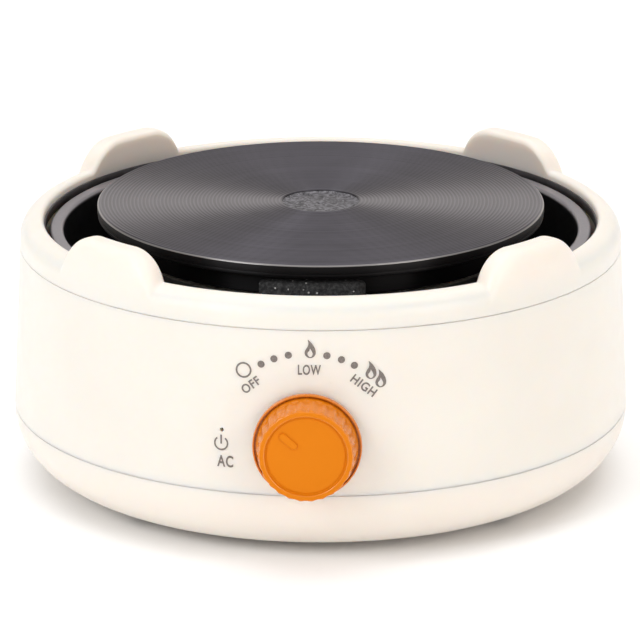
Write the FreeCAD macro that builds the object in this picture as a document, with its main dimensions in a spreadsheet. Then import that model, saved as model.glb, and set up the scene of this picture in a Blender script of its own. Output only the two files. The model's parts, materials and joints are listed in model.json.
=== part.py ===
import FreeCAD, Part
import math
import os
import re
import Sketcher
from FreeCAD import Placement, Rotation, Vector

# Table-top electric hot plate: a cast plate on a steel support, a moulded housing in three shells with four
# ears on the rim, and a rotary thermostat behind a fluted knob. Millimetres, +Z up, front towards -Y.
# The origin is the middle of the base, on the surface that the feet stand on.

SIZES = {
    # shells
    "FloorHeight": 3.0, "BaseRadius": 107.2, "BaseRound": 22.5, "LowerSeam": 26.0, "UpperSeam": 82.5,
    "ShoulderRadius": 104.45, "RimHeight": 92.4, "RimInner": 96.1, "RimOuterRound": 6.4,
    "RimInnerRound": 1.5, "ShellWall": 2.3, "SeamGap": 0.4, "FineGap": 0.12, "TongueWall": 1.7,
    "TongueFit": 0.4, "TongueReach": 4.0, "SkirtDepth": 18.0, "VentCount": 16, "VentWidth": 3.0,
    "VentInner": 26.0, "VentOuter": 52.0,
    # ears on the rim
    "EarTurn": 47.3, "EarHeight": 9.7, "EarHalfWidth": 22.3, "EarShoulder": 14.0, "EarInner": 94.2,
    "EarOuter": 99.6, "EarRootOuter": 102.6, "EarEdge": 1.9,
    # hot plate
    "PlateRadius": 77.5, "PlateTop": 96.8, "PlateBand": 4.65, "PlateChamfer": 0.5, "SideGrooveTop": 93.9,
    "SideGrooveWidth": 0.5, "SideGrooveDepth": 0.5, "CentreRadius": 13.3, "CentreDepth": 1.0,
    "UnderRadius": 70.0, "UnderHeight": 84.0, "StudRadius": 3.0, "HubRadiusUnder": 9.0,
    # heating element
    "CoilRadius": 53.0, "TubeRadius": 3.9, "CoilHeight": 86.1, "ChannelGap": 0.3, "LegOffset": 10.0,
    "LegEnd": 69.0, "LegBend": 9.0, "HeadInner": 65.5, "HeadOuter": 74.6, "HeadLow": 79.0,
    "HeadHigh": 90.0, "HeadAngle": 28.6, "PinRadius": 1.6, "PinLow": 67.0, "PinPlace": 70.0,
    # layers under the plate
    "PadTop": 81.6, "PadLow": 78.0, "PadRadius": 66.0, "PanSheet": 0.6, "BridgeSheet": 1.5,
    "BridgeHalf": 52.0, "BridgeWidth": 18.0, "BridgeFoot": 14.0, "BridgeScrewInset": 6.0,
    "StudWasher": 7.0, "StudWasherSheet": 1.2, "StudNutFlats": 10.0, "StudNutHeight": 5.0,
    # liner dish
    "LipHeight": 88.4, "LipOuter": 93.9, "LipInner": 89.4, "LinerSheet": 0.8, "LinerFloor": 62.2,
    "LinerFoot": 86.0, "LinerRound": 5.0, "BushHole": 3.0, "EarthX": -38.0, "EarthY": 34.0,
    # posts, shield and fasteners
    "PostPlace": 72.0, "PostRadius": 4.5, "PostTop": 50.0, "ScrewRadius": 1.9, "ShieldSheet": 0.6,
    "ShieldRadius": 77.5, "ShieldInner": 22.0, "PillarPlace": 85.5, "PillarRadius": 4.6, "RibHalf": 1.4,
    "PillarTop": 54.0, "PillarLength": 22.0, "WellDepth": 20.0, "LeadPassX": 48.0, "LeadPassY": -30.0,
    "BaseScrewRadius": 1.5, "BaseScrewHead": 3.4, "FootPlace": 68.0, "FootRadius": 7.5, "FootPlug": 5.0,
    # front axis
    "AxisHeight": 43.8, "FrontBoss": 99.0, "BossHalf": 16.0, "BossDrop": 12.5, "BracketScrewPlace": 11.5,
    "BracketScrewHead": 2.7, "BracketScrewSeat": 103.4, "BushBack": 95.4, "SpindleEnd": 92.0,
    "StopSwing": 30.0, "KnobTravel": 100.0, "BimetalPlace": 81.1, "PushPinRadius": 1.5,
    "BracketSheet": 1.5, "BushRadius": 4.6, "SpindleRadius": 3.0, "RunningGap": 0.05, "KnobBack": 107.4,
    "KnobFlange": 18.1, "FlangeWidth": 2.2, "KnobBody": 16.9, "KnobFace": 118.8, "FaceRadius": 15.5,
    "DialRecess": 13.4, "DialDepth": 0.8, "KnobWall": 2.0, "HubRadius": 5.6, "FluteCount": 26,
    "FluteRadius": 2.6, "FluteDepth": 0.35, "PointerInner": 4.0, "PointerOuter": 11.3,
    "PointerWidth": 2.5, "PointerTurn": 49.0, "StackDrop": 16.8, "StackRadius": 5.0, "BladeWidth": 8.0,
    "FixedBlade": 88.5, "MovingBlade": 84.0, "BladeSheet": 0.4, "ArmFoot": 11.3,
    # indicator
    "LampTurn": -15.6, "LampHeight": 47.2, "PinholeRadius": 0.7, "LampPlace": 103.3, "LampBack": 91.0,
    "LampRadius": 2.9,
    # rear gland
    "GlandHeight": 42.0, "GlandFace": 107.4, "GlandBore": 3.6, "GlandBoss": 11.0, "GlandThread": 6.2,
    "GlandEnd": 118.8, "GlandFlats": 17.0, "GlandCollar": 3.0, "GlandNutFlats": 16.0, "GlandNutFoot": 8.0,
    "GlandStub": 7.5, "GlandDepth": 13.0, "SealDepth": 0.9, "LockNutFlats": 18.0, "LockNutHeight": 3.5,
    "LockNutPlace": 10.9,
    # terminal block, fuse and leads
    "BlockHalf": 19.0, "BlockFront": 40.0, "BlockBack": 58.0, "WayPitch": 9.0, "WayHeight": 11.5,
    "SleeveRadius": 2.4, "FuseX": -26.0, "FuseY": -28.0, "FuseHeight": 58.2, "LeadRadius": 1.3,
    "BlockHeight": 13.0, "ClampPlace": 3.0, "ClampRadius": 1.4, "SleeveInset": 0.3, "LeadFit": 0.15,
    "FuseRadius": 2.0, "FuseHalf": 6.0, "SaddleHalf": 4.0, "TagRadius": 4.0, "TagReach": 11.0,
    "TagSheet": 0.8,
}

document = FreeCAD.newDocument("HotPlateBurner")
sheet = document.addObject("Spreadsheet::Sheet", "Dims")
for row, (alias, number) in enumerate(SIZES.items(), 1):
    sheet.set(f"A{row}", alias)
    sheet.set(f"B{row}", str(number))
    sheet.setAlias(f"B{row}", alias)
document.recompute()

nodes = []


def bound(text):
    """The expression with each sheet alias written as Dims.Alias."""
    return re.sub(r"\b([A-Z][A-Za-z]+)\b", r"Dims.\1", str(text))


def size(text):
    """The number that an expression of sheet aliases stands for."""
    return float(sheet.evalExpression(bound(text)))


def bind(thing, prop, text):
    """Sets a property from an expression and keeps it bound to the sheet."""
    thing.setExpression(prop, bound(text))


def node(thing, label):
    """Marks an object as a sub-part that is written to its own file."""
    thing.Label = label
    nodes.append(thing)
    return thing


def body(label, at=("0", "0", "0"), facing="up", turn="0"):
    """A PartDesign body whose local +Z faces up, front (-Y) or rear (+Y), then turns about the world's Z."""
    made = document.addObject("PartDesign::Body", label)
    tilt = {"up": 0, "front": 90, "rear": -90}[facing]
    made.Placement = Placement(Vector(0, 0, 0), Rotation(Vector(1, 0, 0), tilt))
    spin = Rotation(Vector(0, 0, 1), size(turn))
    place = spin.multVec(Vector(*[size(value) for value in at]))
    made.Placement = Placement(place, spin.multiply(made.Placement.Rotation))
    return made


def plane_of(owner, role):
    """One of the body's own planes or axes, by its role."""
    return next(feature for feature in owner.Origin.OriginFeatures if feature.Role == role)


def blank_sketch(owner, level="0", role="XY_Plane", turn="0"):
    """A sketch on one of the body's planes, raised to a level along its normal and turned in its own plane."""
    sketch = owner.newObject("Sketcher::SketchObject", "Sketch")
    sketch.AttachmentSupport = [(plane_of(owner, role), "")]
    sketch.MapMode = "FlatFace"
    sketch.AttachmentOffset = Placement(Vector(0, 0, 0), Rotation(Vector(0, 0, 1), size(turn)))
    bind(sketch, "AttachmentOffset.Base.z", level)
    return sketch


def outline(sketch, points, rounds=None):
    """Adds a closed outline of straight lines; rounds gives the radius at a corner by its place in the list."""
    first = sketch.GeometryCount
    count = len(points)
    corners = [Vector(size(across), size(along), 0) for across, along in points]
    for i in range(count):
        sketch.addGeometry(Part.LineSegment(corners[i], corners[(i + 1) % count]), False)
    for i in range(count):
        sketch.addConstraint(Sketcher.Constraint("Coincident", first + i, 2, first + (i + 1) % count, 1))
    for i, point in enumerate(points):
        for kind, text in (("DistanceX", point[0]), ("DistanceY", point[1])):
            place = sketch.addConstraint(Sketcher.Constraint(kind, -1, 1, first + i, 1, size(text)))
            bind(sketch, f"Constraints[{place}]", text)
    document.recompute()
    for i, radius in (rounds or {}).items():
        before = first + (i - 1) % count
        back = (corners[(i - 1) % count] - corners[i]).normalize()
        ahead = (corners[(i + 1) % count] - corners[i]).normalize()
        arc = sketch.GeometryCount
        number = size(radius)
        sketch.fillet(before, first + i, corners[i] + back * number * 0.5, corners[i] + ahead * number * 0.5,
                      number, True, True)
        place = sketch.addConstraint(Sketcher.Constraint("Radius", arc, number))
        bind(sketch, f"Constraints[{place}]", radius)
    document.recompute()
    return sketch


def circle(sketch, across, along, radius):
    """Adds a circle, with its centre and radius bound to the sheet."""
    centre = Vector(size(across), size(along), 0)
    made = sketch.addGeometry(Part.Circle(centre, Vector(0, 0, 1), size(radius)), False)
    for kind, text in (("DistanceX", across), ("DistanceY", along)):
        place = sketch.addConstraint(Sketcher.Constraint(kind, -1, 1, made, 3, size(text)))
        bind(sketch, f"Constraints[{place}]", text)
    place = sketch.addConstraint(Sketcher.Constraint("Radius", made, size(radius)))
    bind(sketch, f"Constraints[{place}]", radius)
    return sketch


def box_points(low_x, high_x, low_y, high_y):
    """The four corners of a rectangle."""
    return [(low_x, low_y), (high_x, low_y), (high_x, high_y), (low_x, high_y)]


def hexagon(across_flats):
    """The six corners of a hexagon, from its width across flats."""
    reach = f"({across_flats}) / 2 / cos(30)"
    return [(f"{reach} * cos({60 * k})", f"{reach} * sin({60 * k})") for k in range(6)]


def revolve(owner, points, rounds=None):
    """Turns an outline of (radius, height) about the body's own Z."""
    sketch = outline(blank_sketch(owner, role="XZ_Plane"), points, rounds)
    feature = owner.newObject("PartDesign::Revolution", "Turned")
    feature.Profile = sketch
    feature.ReferenceAxis = (sketch, ["V_Axis"])
    feature.Angle = 360
    document.recompute()
    return feature


def pad(owner, sketch, length):
    """Adds material from the sketch along its normal."""
    feature = owner.newObject("PartDesign::Pad", "Pad")
    feature.Profile = sketch
    bind(feature, "Length", length)
    document.recompute()
    return feature


def pocket(owner, sketch, length):
    """Cuts from the sketch along its normal, and checks that the body lost material."""
    before = owner.Shape.Volume
    feature = owner.newObject("PartDesign::Pocket", "Pocket")
    feature.Profile = sketch
    feature.Reversed = True
    bind(feature, "Length", length)
    document.recompute()
    if not owner.Shape.Volume < before - 1e-6:
        raise RuntimeError(f"a pocket in {owner.Label} removed nothing")
    return feature


def polar(owner, features, count):
    """Repeats features round the body's own Z."""
    pattern = owner.newObject("PartDesign::PolarPattern", "Pattern")
    pattern.Originals = features
    pattern.Axis = (plane_of(owner, "Z_Axis"), [""])
    pattern.Angle = 360
    pattern.Occurrences = int(count)
    owner.Tip = pattern
    document.recompute()
    return pattern


def hole(owner, across, along, radius, low, high, role="XY_Plane", turn="0"):
    """A round hole along the normal of one of the body's planes."""
    sketch = circle(blank_sketch(owner, low, role, turn), across, along, radius)
    return pocket(owner, sketch, f"({high}) - ({low})")


def slab(owner, points, low, high, rounds=None, role="XY_Plane", turn="0"):
    """A pad of an outline between two levels along the plane's normal."""
    sketch = outline(blank_sketch(owner, low, role, turn), points, rounds)
    return pad(owner, sketch, f"({high}) - ({low})")


def rod(owner, across, along, radius, low, high, role="XY_Plane", turn="0"):
    """A round pad between two levels along the plane's normal."""
    sketch = circle(blank_sketch(owner, low, role, turn), across, along, radius)
    return pad(owner, sketch, f"({high}) - ({low})")


def notch(owner, points, low, high, role="XY_Plane", turn="0", rounds=None):
    """A pocket of an outline between two levels along the plane's normal."""
    sketch = outline(blank_sketch(owner, low, role, turn), points, rounds)
    return pocket(owner, sketch, f"({high}) - ({low})")


def turned(label, points, rounds=None, **place):
    """A node turned from an outline of (radius, height)."""
    made = body(label, **place)
    revolve(made, points, rounds)
    return node(made, label)


def tube_body(inner, outer, low, high, **place):
    """A plain ring, tube, rod or washer."""
    made = body("tube", **place)
    revolve(made, [(inner, low), (outer, low), (outer, high), (inner, high)])
    return made


def ring(label, inner, outer, low, high, **place):
    """A plain ring, tube, rod or washer as a node of its own."""
    return node(tube_body(inner, outer, low, high, **place), label)


def nut(label, flats, bore, low, high, **place):
    """A hexagon nut."""
    made = body(label, **place)
    slab(made, hexagon(flats), low, high)
    hole(made, "0", "0", bore, low, high)
    return node(made, label)


def screw(place, head_radius, head_low, head_high, shank_radius, shank_end, flip=False, facing="up"):
    """A pan-head screw with a cross recess; flip puts the head below the shank."""
    made = body("screw", at=place, facing=facing)
    revolve(made, [("0", head_low), (head_radius, head_low), (head_radius, head_high), ("0", head_high)],
            {1 if flip else 2: "0.7"})
    low, high = (head_high, shank_end) if flip else (shank_end, head_low)
    rod(made, "0", "0", shank_radius, low, high)
    slot = f"({head_radius}) * 0.62"
    floor, top = (head_low, f"{head_low} + 0.7") if flip else (f"{head_high} - 0.7", head_high)
    notch(made, box_points(f"-({slot})", slot, "-0.35", "0.35"), floor, top)
    notch(made, box_points("-0.35", "0.35", f"-({slot})", slot), floor, top)
    return made


def group(label, members):
    """Several separate solids in one node."""
    made = document.addObject("Part::Compound", label)
    made.Links = members
    document.recompute()
    return node(made, label)


def around(radius, turn):
    """The place at a radius, turned about Z from the front (-Y) towards +X."""
    return f"({radius}) * sin({turn})", f"-({radius}) * cos({turn})"


PILLAR_FOOT = "PillarTop - PillarLength"
EAR_TURNS = [f"EarTurn + {90 * k}" for k in range(4)]


# ---------------------------------------------------------------- shells

def make_top_ring():
    """The rim: a rounded crest, an outer skin, an inner skirt, a tongue into the housing, and four ears."""
    rim = body("rim_section")
    underside = "RimHeight - ShellWall"
    tongue = "ShoulderRadius - ShellWall - TongueFit"
    revolve(rim, [
        ("RimInner", "RimHeight - SkirtDepth"), ("RimInner + ShellWall", "RimHeight - SkirtDepth"),
        ("RimInner + ShellWall", underside), (f"{tongue} - TongueWall", underside),
        (f"{tongue} - TongueWall", "UpperSeam - TongueReach"), (tongue, "UpperSeam - TongueReach"),
        (tongue, "UpperSeam + FineGap / 2"), ("ShoulderRadius", "UpperSeam + FineGap / 2"),
        ("ShoulderRadius - 0.3", "RimHeight"), ("RimInner", "RimHeight")],
        {8: "RimOuterRound", 9: "RimInnerRound"})
    band = body("ear_band")
    revolve(band, [
        ("RimInner", "RimHeight - 4"), ("EarRootOuter", "RimHeight - 4"), ("EarOuter", "RimHeight + EarHeight"),
        ("EarInner", "RimHeight + EarHeight")], {2: "EarEdge", 3: "EarEdge"})
    windows = []
    for turn in ("EarTurn", "EarTurn + 90"):
        window = body("ear_window", facing="front", turn=turn)
        slab(window, box_points("-EarHalfWidth", "EarHalfWidth", "RimHeight - 8", "RimHeight + EarHeight"),
             "-BaseRadius", "BaseRadius", {2: "EarShoulder", 3: "EarShoulder"})
        windows.append(window)
    cross = document.addObject("Part::MultiFuse", "ear_windows")
    cross.Shapes = windows
    ears = document.addObject("Part::Common", "ears")
    ears.Base = band
    ears.Tool = cross
    whole = document.addObject("Part::MultiFuse", "ring_with_ears")
    whole.Shapes = [rim, ears]
    whole.Refine = True
    node(whole, "top_ring")


def make_housing():
    """The middle shell, with pillars for the base screws and bosses for the thermostat and the gland."""
    shell = body("housing")
    low = "LowerSeam + SeamGap / 2"
    high = "UpperSeam - FineGap / 2"
    revolve(shell, [("BaseRadius - ShellWall", low), ("BaseRadius", low), ("ShoulderRadius", high),
                    ("ShoulderRadius - ShellWall", high)])
    rib = slab(shell, box_points("-RibHalf", "RibHalf", "-BaseRadius + ShellWall - 0.4", "-PillarPlace"),
               PILLAR_FOOT, "PillarTop", turn="EarTurn")
    nose = rod(shell, "0", "-PillarPlace", "PillarRadius", PILLAR_FOOT, "PillarTop", turn="EarTurn")
    bore = hole(shell, "0", "-PillarPlace", "BaseScrewRadius", PILLAR_FOOT, "PillarTop - 8", turn="EarTurn")
    polar(shell, [rib, nose, bore], 4)
    front = {"role": "XZ_Plane"}
    slab(shell, box_points("-BossHalf", "BossHalf", "AxisHeight - BossDrop", "AxisHeight + BossHalf"),
         "FrontBoss", "FrontBoss + 5", {k: "3" for k in range(4)}, **front)
    hole(shell, "0", "AxisHeight", "BushRadius + 0.8", "FrontBoss - 1", "BaseRadius + 1", **front)
    for side in ("-", ""):
        place = (f"{side}BracketScrewPlace", "AxisHeight")
        hole(shell, *place, "ScrewRadius", "FrontBoss - 1", "BaseRadius", **front)
        hole(shell, *place, "BracketScrewHead + 0.3", "BracketScrewSeat", "BaseRadius + 1", **front)
    rod(shell, "0", "GlandHeight", "GlandBoss", "-GlandFace", "-GlandFace + 7.4", **front)
    hole(shell, "0", "GlandHeight", "GlandThread", "-GlandFace - 1", "-GlandFace + 9", **front)
    pinhole = blank_sketch(shell, "LampPlace", "XZ_Plane")
    pinhole.AttachmentOffset = Placement(Vector(0, 0, 0), Rotation(Vector(0, 1, 0), size("LampTurn")))
    bind(pinhole, "AttachmentOffset.Base.x", "LampPlace * sin(LampTurn)")
    bind(pinhole, "AttachmentOffset.Base.z", "LampPlace * cos(LampTurn)")
    pocket(shell, circle(pinhole, "0", "LampHeight", "PinholeRadius"), "20")
    node(shell, "housing")


def make_base():
    """The lower shell: a rounded pan with posts, wells for the base screws, sockets for the feet, and vents.

    The corner is round outside and has three flats inside.
    """
    pan = body("base")
    inner = "BaseRadius - ShellWall - TongueFit - TongueWall"
    floor = "FloorHeight + ShellWall"
    round_in = "(BaseRound - ShellWall - TongueWall)"
    inner_corner = [
        (f"{inner} - {round_in} * (1 - cos({turn}))", f"{floor} + {round_in} * (1 - sin({turn}))")
        for turn in (0, 30, 60, 90)]
    revolve(pan, [
        ("0", "FloorHeight"), ("BaseRadius", "FloorHeight"), ("BaseRadius", "LowerSeam - SeamGap / 2"),
        ("BaseRadius - ShellWall - TongueFit", "LowerSeam - SeamGap / 2"),
        ("BaseRadius - ShellWall - TongueFit", "LowerSeam + TongueReach"), (inner, "LowerSeam + TongueReach"),
        *inner_corner, ("0", floor)], {1: "BaseRound"})
    post = rod(pan, "0", "-PostPlace", "PostRadius", f"{floor} - 1", "PostTop", turn="EarTurn")
    post_bore = hole(pan, "0", "-PostPlace", "ScrewRadius", "PostTop - 20", "PostTop", turn="EarTurn")
    pillar = ("0", "-PillarPlace")
    well = rod(pan, *pillar, "PillarRadius + 0.6", f"{floor} - 1", f"{PILLAR_FOOT} - 0.1", turn="EarTurn")
    well_bore = hole(pan, *pillar, "BaseScrewHead + 0.4", "0", "WellDepth", turn="EarTurn")
    screw_bore = hole(pan, *pillar, "BaseScrewRadius + 0.3", "WellDepth - 1", "PillarTop", turn="EarTurn")
    socket = hole(pan, "0", "-FootPlace", "FootPlug / 2", "0", "FloorHeight + 10", turn="EarTurn + 45")
    polar(pan, [post, post_bore, well, well_bore, screw_bore, socket], 4)
    vent = notch(pan, box_points("-VentWidth / 2", "VentWidth / 2", "VentInner", "VentOuter"),
                 "0", "FloorHeight + 10", rounds={k: "VentWidth / 2 - 0.01" for k in range(4)})
    polar(pan, [vent], size("VentCount"))
    node(pan, "base")


def make_feet():
    """Four rubber feet, each a pad with a plug that snaps into the base floor."""
    for k in range(4):
        turned(f"rubber_foot_{k + 1}", [
            ("0", "0"), ("FootRadius", "0"), ("FootRadius", "FloorHeight"), ("FootPlug / 2", "FloorHeight"),
            ("FootPlug / 2", "FloorHeight + ShellWall"), ("FootPlug / 2 + 0.6", "FloorHeight + ShellWall"),
            ("FootPlug / 2 - 0.6", "FloorHeight + ShellWall + 2"), ("0", "FloorHeight + ShellWall + 2")],
            {1: "0.8"}, at=(*around("FootPlace", f"EarTurn + 45 + {90 * k}"), "0"))


# ---------------------------------------------------------------- plate and heater

def make_hot_plate():
    """The cast plate: a turned top with a sunk centre, a grooved side, and the coil's channel underneath."""
    plate = body("hot_plate")
    under = "PlateTop - PlateBand"
    groove_low = "SideGrooveTop - SideGrooveWidth"
    groove = "PlateRadius - SideGrooveDepth"
    channel = "TubeRadius + ChannelGap"
    revolve(plate, [
        ("0", "PlateTop - CentreDepth"), ("0", "UnderHeight - 4"), ("HubRadiusUnder", "UnderHeight - 4"),
        ("HubRadiusUnder", "UnderHeight"), (f"CoilRadius - {channel}", "UnderHeight"),
        (f"CoilRadius - {channel}", f"CoilHeight + {channel}"),
        (f"CoilRadius + {channel}", f"CoilHeight + {channel}"), (f"CoilRadius + {channel}", "UnderHeight"),
        ("UnderRadius", "UnderHeight"), ("UnderRadius", under),
        ("PlateRadius - 0.2", under), ("PlateRadius - 0.2", groove_low), (groove, groove_low),
        (groove, "SideGrooveTop"), ("PlateRadius", "SideGrooveTop"), ("PlateRadius", "PlateTop - PlateChamfer"),
        ("PlateRadius - PlateChamfer", "PlateTop"), ("CentreRadius", "PlateTop"),
        ("CentreRadius", "PlateTop - CentreDepth")])
    hole(plate, "0", "0", "StudRadius", "UnderHeight - 4", "UnderHeight + 6")
    notch(plate, box_points("-HeadInner * sin(HeadAngle / 2) - 3", "HeadInner * sin(HeadAngle / 2) + 3",
                            "-PlateRadius + 2", "-CoilRadius"), "UnderHeight - 1", f"CoilHeight + {channel}")
    node(plate, "hot_plate")


def make_heating_element():
    """A sheathed tubular coil: most of a circle, with its two ends bent out level towards the front."""
    radius, offset, level = size("CoilRadius"), size("LegOffset"), size("CoilHeight")
    bend, end = size("LegBend"), size("LegEnd")
    bend_x = offset + bend
    bend_y = -math.sqrt((radius + bend) ** 2 - bend_x ** 2)
    bend_centre = Vector(bend_x, bend_y, 0)
    meet = bend_centre * (radius / (radius + bend))
    toward_coil = (meet - bend_centre).normalize()
    toward_leg = Vector(-1, 0, 0)
    middle = bend_centre + (toward_coil + toward_leg).normalize() * bend
    edges = []
    for side in (1, -1):
        leg_end, leg_top, bend_middle, bend_end = (
            Vector(x * side, y, level)
            for x, y in ((offset, -end), (offset, bend_y), (middle.x, middle.y), (meet.x, meet.y)))
        edges.append(Part.LineSegment(leg_end, leg_top).toShape())
        edges.append(Part.Arc(leg_top, bend_middle, bend_end).toShape())
    edges.append(Part.Arc(Vector(meet.x, meet.y, level), Vector(0, radius, level),
                          Vector(-meet.x, meet.y, level)).toShape())
    path = Part.Wire(Part.__sortEdges__(edges))
    tube(path, size("TubeRadius"), "heating_element")


def tube(path, radius, label):
    """A round bar swept along a path, with its volume checked against section times length."""
    start = path.OrderedVertexes[0].Point
    direction = path.OrderedEdges[0].tangentAt(path.OrderedEdges[0].FirstParameter)
    if path.OrderedEdges[0].Orientation == "Reversed":
        direction = -path.OrderedEdges[0].tangentAt(path.OrderedEdges[0].LastParameter)
    section = Part.Wire([Part.Circle(start, direction, radius).toShape()])
    made = document.addObject("Part::Feature", label)
    made.Shape = path.makePipeShell([section], True, False)
    expected = math.pi * radius ** 2 * path.Length
    if abs(made.Shape.Volume / expected - 1) > 0.01:
        raise RuntimeError(f"{label}: volume {made.Shape.Volume:.1f}, expected {expected:.1f}")
    return node(made, label)


def make_terminal_head():
    """The refractory block that closes the coil's channel at the front and holds the two terminal pins."""
    head = body("terminal_head")
    sketch = outline(blank_sketch(head, role="YZ_Plane"),
                     box_points("-HeadOuter", "-HeadInner", "HeadLow", "HeadHigh"), {3: "1.2", 0: "0.8"})
    block = head.newObject("PartDesign::Revolution", "Block")
    block.Profile = sketch
    block.ReferenceAxis = (sketch, ["V_Axis"])
    block.Midplane = True
    bind(block, "Angle", "HeadAngle")
    document.recompute()
    for side in ("-", ""):
        hole(head, f"{side}LegOffset", "CoilHeight", "TubeRadius", "0", "LegEnd", role="XZ_Plane")
        hole(head, f"{side}LegOffset", "-PinPlace - 1", "PinRadius", "HeadLow - 1", "CoilHeight - 5")
    node(head, "terminal_head")
    group("terminal_pins", [tube_body("0", "PinRadius", "PinLow", "CoilHeight - 5",
                                      at=(f"{side}LegOffset", "-PinPlace - 1", "0")) for side in ("-", "")])


def make_under_layers():
    """Insulation, its steel pan, the bridge that carries the plate, and the stud with its washer and nut."""
    clear = "HeadOuter * sin(HeadAngle / 2) + 1.5"
    behind_head = "-HeadInner * cos(HeadAngle / 2) + 1"
    pad_body = body("insulation_pad")
    revolve(pad_body, box_points("HubRadiusUnder + 1", "PadRadius", "PadLow", "PadTop"))
    notch(pad_body, box_points(f"-({clear})", clear, "-PlateRadius", behind_head), "PadLow - 1", "PadTop + 1")
    node(pad_body, "insulation_pad")
    pan = body("insulation_pan")
    pan_low = "PadLow - PanSheet"
    revolve(pan, [("StudRadius + 0.3", pan_low), ("PadRadius + 1", pan_low), ("PadRadius + 1", "PadTop"),
                  ("PadRadius + 0.4", "PadTop"), ("PadRadius + 0.4", "PadLow"), ("StudRadius + 0.3", "PadLow")])
    notch(pan, box_points(f"-({clear})", clear, "-PlateRadius", behind_head), f"{pan_low} - 1", "PadTop + 1")
    node(pan, "insulation_pan")
    make_bridge(pan_low)
    under_floor = "LinerFloor - LinerSheet"
    washer_low = f"{under_floor} - StudWasherSheet"
    nut_low = f"{washer_low} - StudNutHeight"
    ring("plate_stud", "0", "StudRadius", f"{nut_low} - 0.5", "UnderHeight + 5")
    ring("stud_washer", "StudRadius + 0.2", "StudWasher", washer_low, under_floor)
    nut("stud_nut", "StudNutFlats", "StudRadius", nut_low, washer_low)


def make_bridge(top):
    """The bent steel strip that stands on the liner's floor and carries the plate, and its two screws."""
    bridge = body("support_bridge")
    under = f"{top} - BridgeSheet"
    leg = "BridgeHalf - BridgeFoot"
    foot_top = "LinerFloor + BridgeSheet"
    slab(bridge, [
        ("-BridgeHalf", "LinerFloor"), (f"-({leg})", "LinerFloor"), (f"-({leg})", under), (leg, under),
        (leg, "LinerFloor"), ("BridgeHalf", "LinerFloor"), ("BridgeHalf", foot_top),
        (f"{leg} + BridgeSheet", foot_top), (f"{leg} + BridgeSheet", top), (f"-({leg} + BridgeSheet)", top),
        (f"-({leg} + BridgeSheet)", foot_top), ("-BridgeHalf", foot_top)],
        "-BridgeWidth / 2", "BridgeWidth / 2", role="XZ_Plane")
    hole(bridge, "0", "0", "StudRadius + 0.2", f"{under} - 1", f"{top} + 1")
    screws = []
    for side in ("-", ""):
        across = f"{side}(BridgeHalf - BridgeScrewInset)"
        hole(bridge, across, "0", "BaseScrewRadius", "LinerFloor - 1", "LinerFloor + 3")
        screws.append(screw((across, "0", "0"), "2.8", foot_top, f"{foot_top} + 1.9", "BaseScrewRadius",
                            "LinerFloor - 4"))
    node(bridge, "support_bridge")
    group("bridge_screws", screws)


def make_liner():
    """The pressed steel dish round the plate: a flat lip, a drawn wall and a floor with its fixing holes."""
    liner = body("liner_dish")
    outside = "LinerFloor - LinerSheet"
    revolve(liner, [
        ("StudRadius + 0.3", outside), ("LinerFoot + LinerSheet", outside),
        ("LipInner + LinerSheet", "LipHeight - LinerSheet"), ("LipOuter - LinerSheet", "LipHeight - LinerSheet"),
        ("LipOuter - LinerSheet", "LipHeight - 2"), ("LipOuter", "LipHeight - 2"), ("LipOuter", "LipHeight"),
        ("LipInner", "LipHeight"), ("LinerFoot", "LinerFloor"), ("StudRadius + 0.3", "LinerFloor")],
        {1: "LinerRound + LinerSheet", 8: "LinerRound", 2: "0.4", 7: "1.2", 6: "0.9"})
    fixing = hole(liner, "0", "-PostPlace", "ScrewRadius", f"{outside} - 1", "LinerFloor + 1", turn="EarTurn")
    polar(liner, [fixing], 4)
    for side in ("-", ""):
        hole(liner, f"{side}LegOffset", "-PinPlace - 1", "BushHole", f"{outside} - 1", "LinerFloor + 1")
        hole(liner, f"{side}(BridgeHalf - BridgeScrewInset)", "0", "BaseScrewRadius", f"{outside} - 1",
             "LinerFloor + 1")
    hole(liner, "EarthX", "EarthY", "BaseScrewRadius", f"{outside} - 1", "LinerFloor + 1")
    node(liner, "liner_dish")
    bushes = []
    for side in ("-", ""):
        bush = body("lead_bush", at=(f"{side}LegOffset", "-PinPlace - 1", "0"))
        revolve(bush, [
            ("LeadRadius + 0.2", f"{outside} - 2.6"), ("BushHole", f"{outside} - 2.6"), ("BushHole", "LinerFloor"),
            ("BushHole + 1.2", "LinerFloor"), ("BushHole + 1.2", "LinerFloor + 1.4"),
            ("LeadRadius + 0.2", "LinerFloor + 1.4")])
        bushes.append(bush)
    group("lead_bushes", bushes)


def make_shield_and_posts():
    """The heat shield on the base's four posts, the ceramic spacers above it, and the screws."""
    shield = body("heat_shield")
    shield_top = "PostTop + ShieldSheet"
    revolve(shield, box_points("ShieldInner", "ShieldRadius", "PostTop", shield_top))
    fixing = hole(shield, "0", "-PostPlace", "ScrewRadius", "PostTop - 1", f"{shield_top} + 1", turn="EarTurn")
    polar(shield, [fixing], 4)
    for side in ("-", ""):
        hole(shield, f"{side}LeadPassX", "LeadPassY", "4.5", "PostTop - 1", f"{shield_top} + 1")
    node(shield, "heat_shield")
    outside = "LinerFloor - LinerSheet"
    group("liner_spacers", [tube_body("ScrewRadius", "PostRadius - 0.3", shield_top, outside,
                                      at=(*around("PostPlace", turn), "0")) for turn in EAR_TURNS])
    group("liner_screws", [screw((*around("PostPlace", turn), "0"), "3.8", "LinerFloor", "LinerFloor + 2.4",
                                 "ScrewRadius", "PostTop - 12") for turn in EAR_TURNS])
    group("base_screws", [screw((*around("PillarPlace", turn), "0"), "BaseScrewHead", "WellDepth - 2.4",
                                "WellDepth", "BaseScrewRadius", "PillarTop - 12", flip=True)
                          for turn in EAR_TURNS])


# ---------------------------------------------------------------- knob and thermostat

FRONT = {"at": ("0", "0", "AxisHeight"), "facing": "front"}


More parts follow.
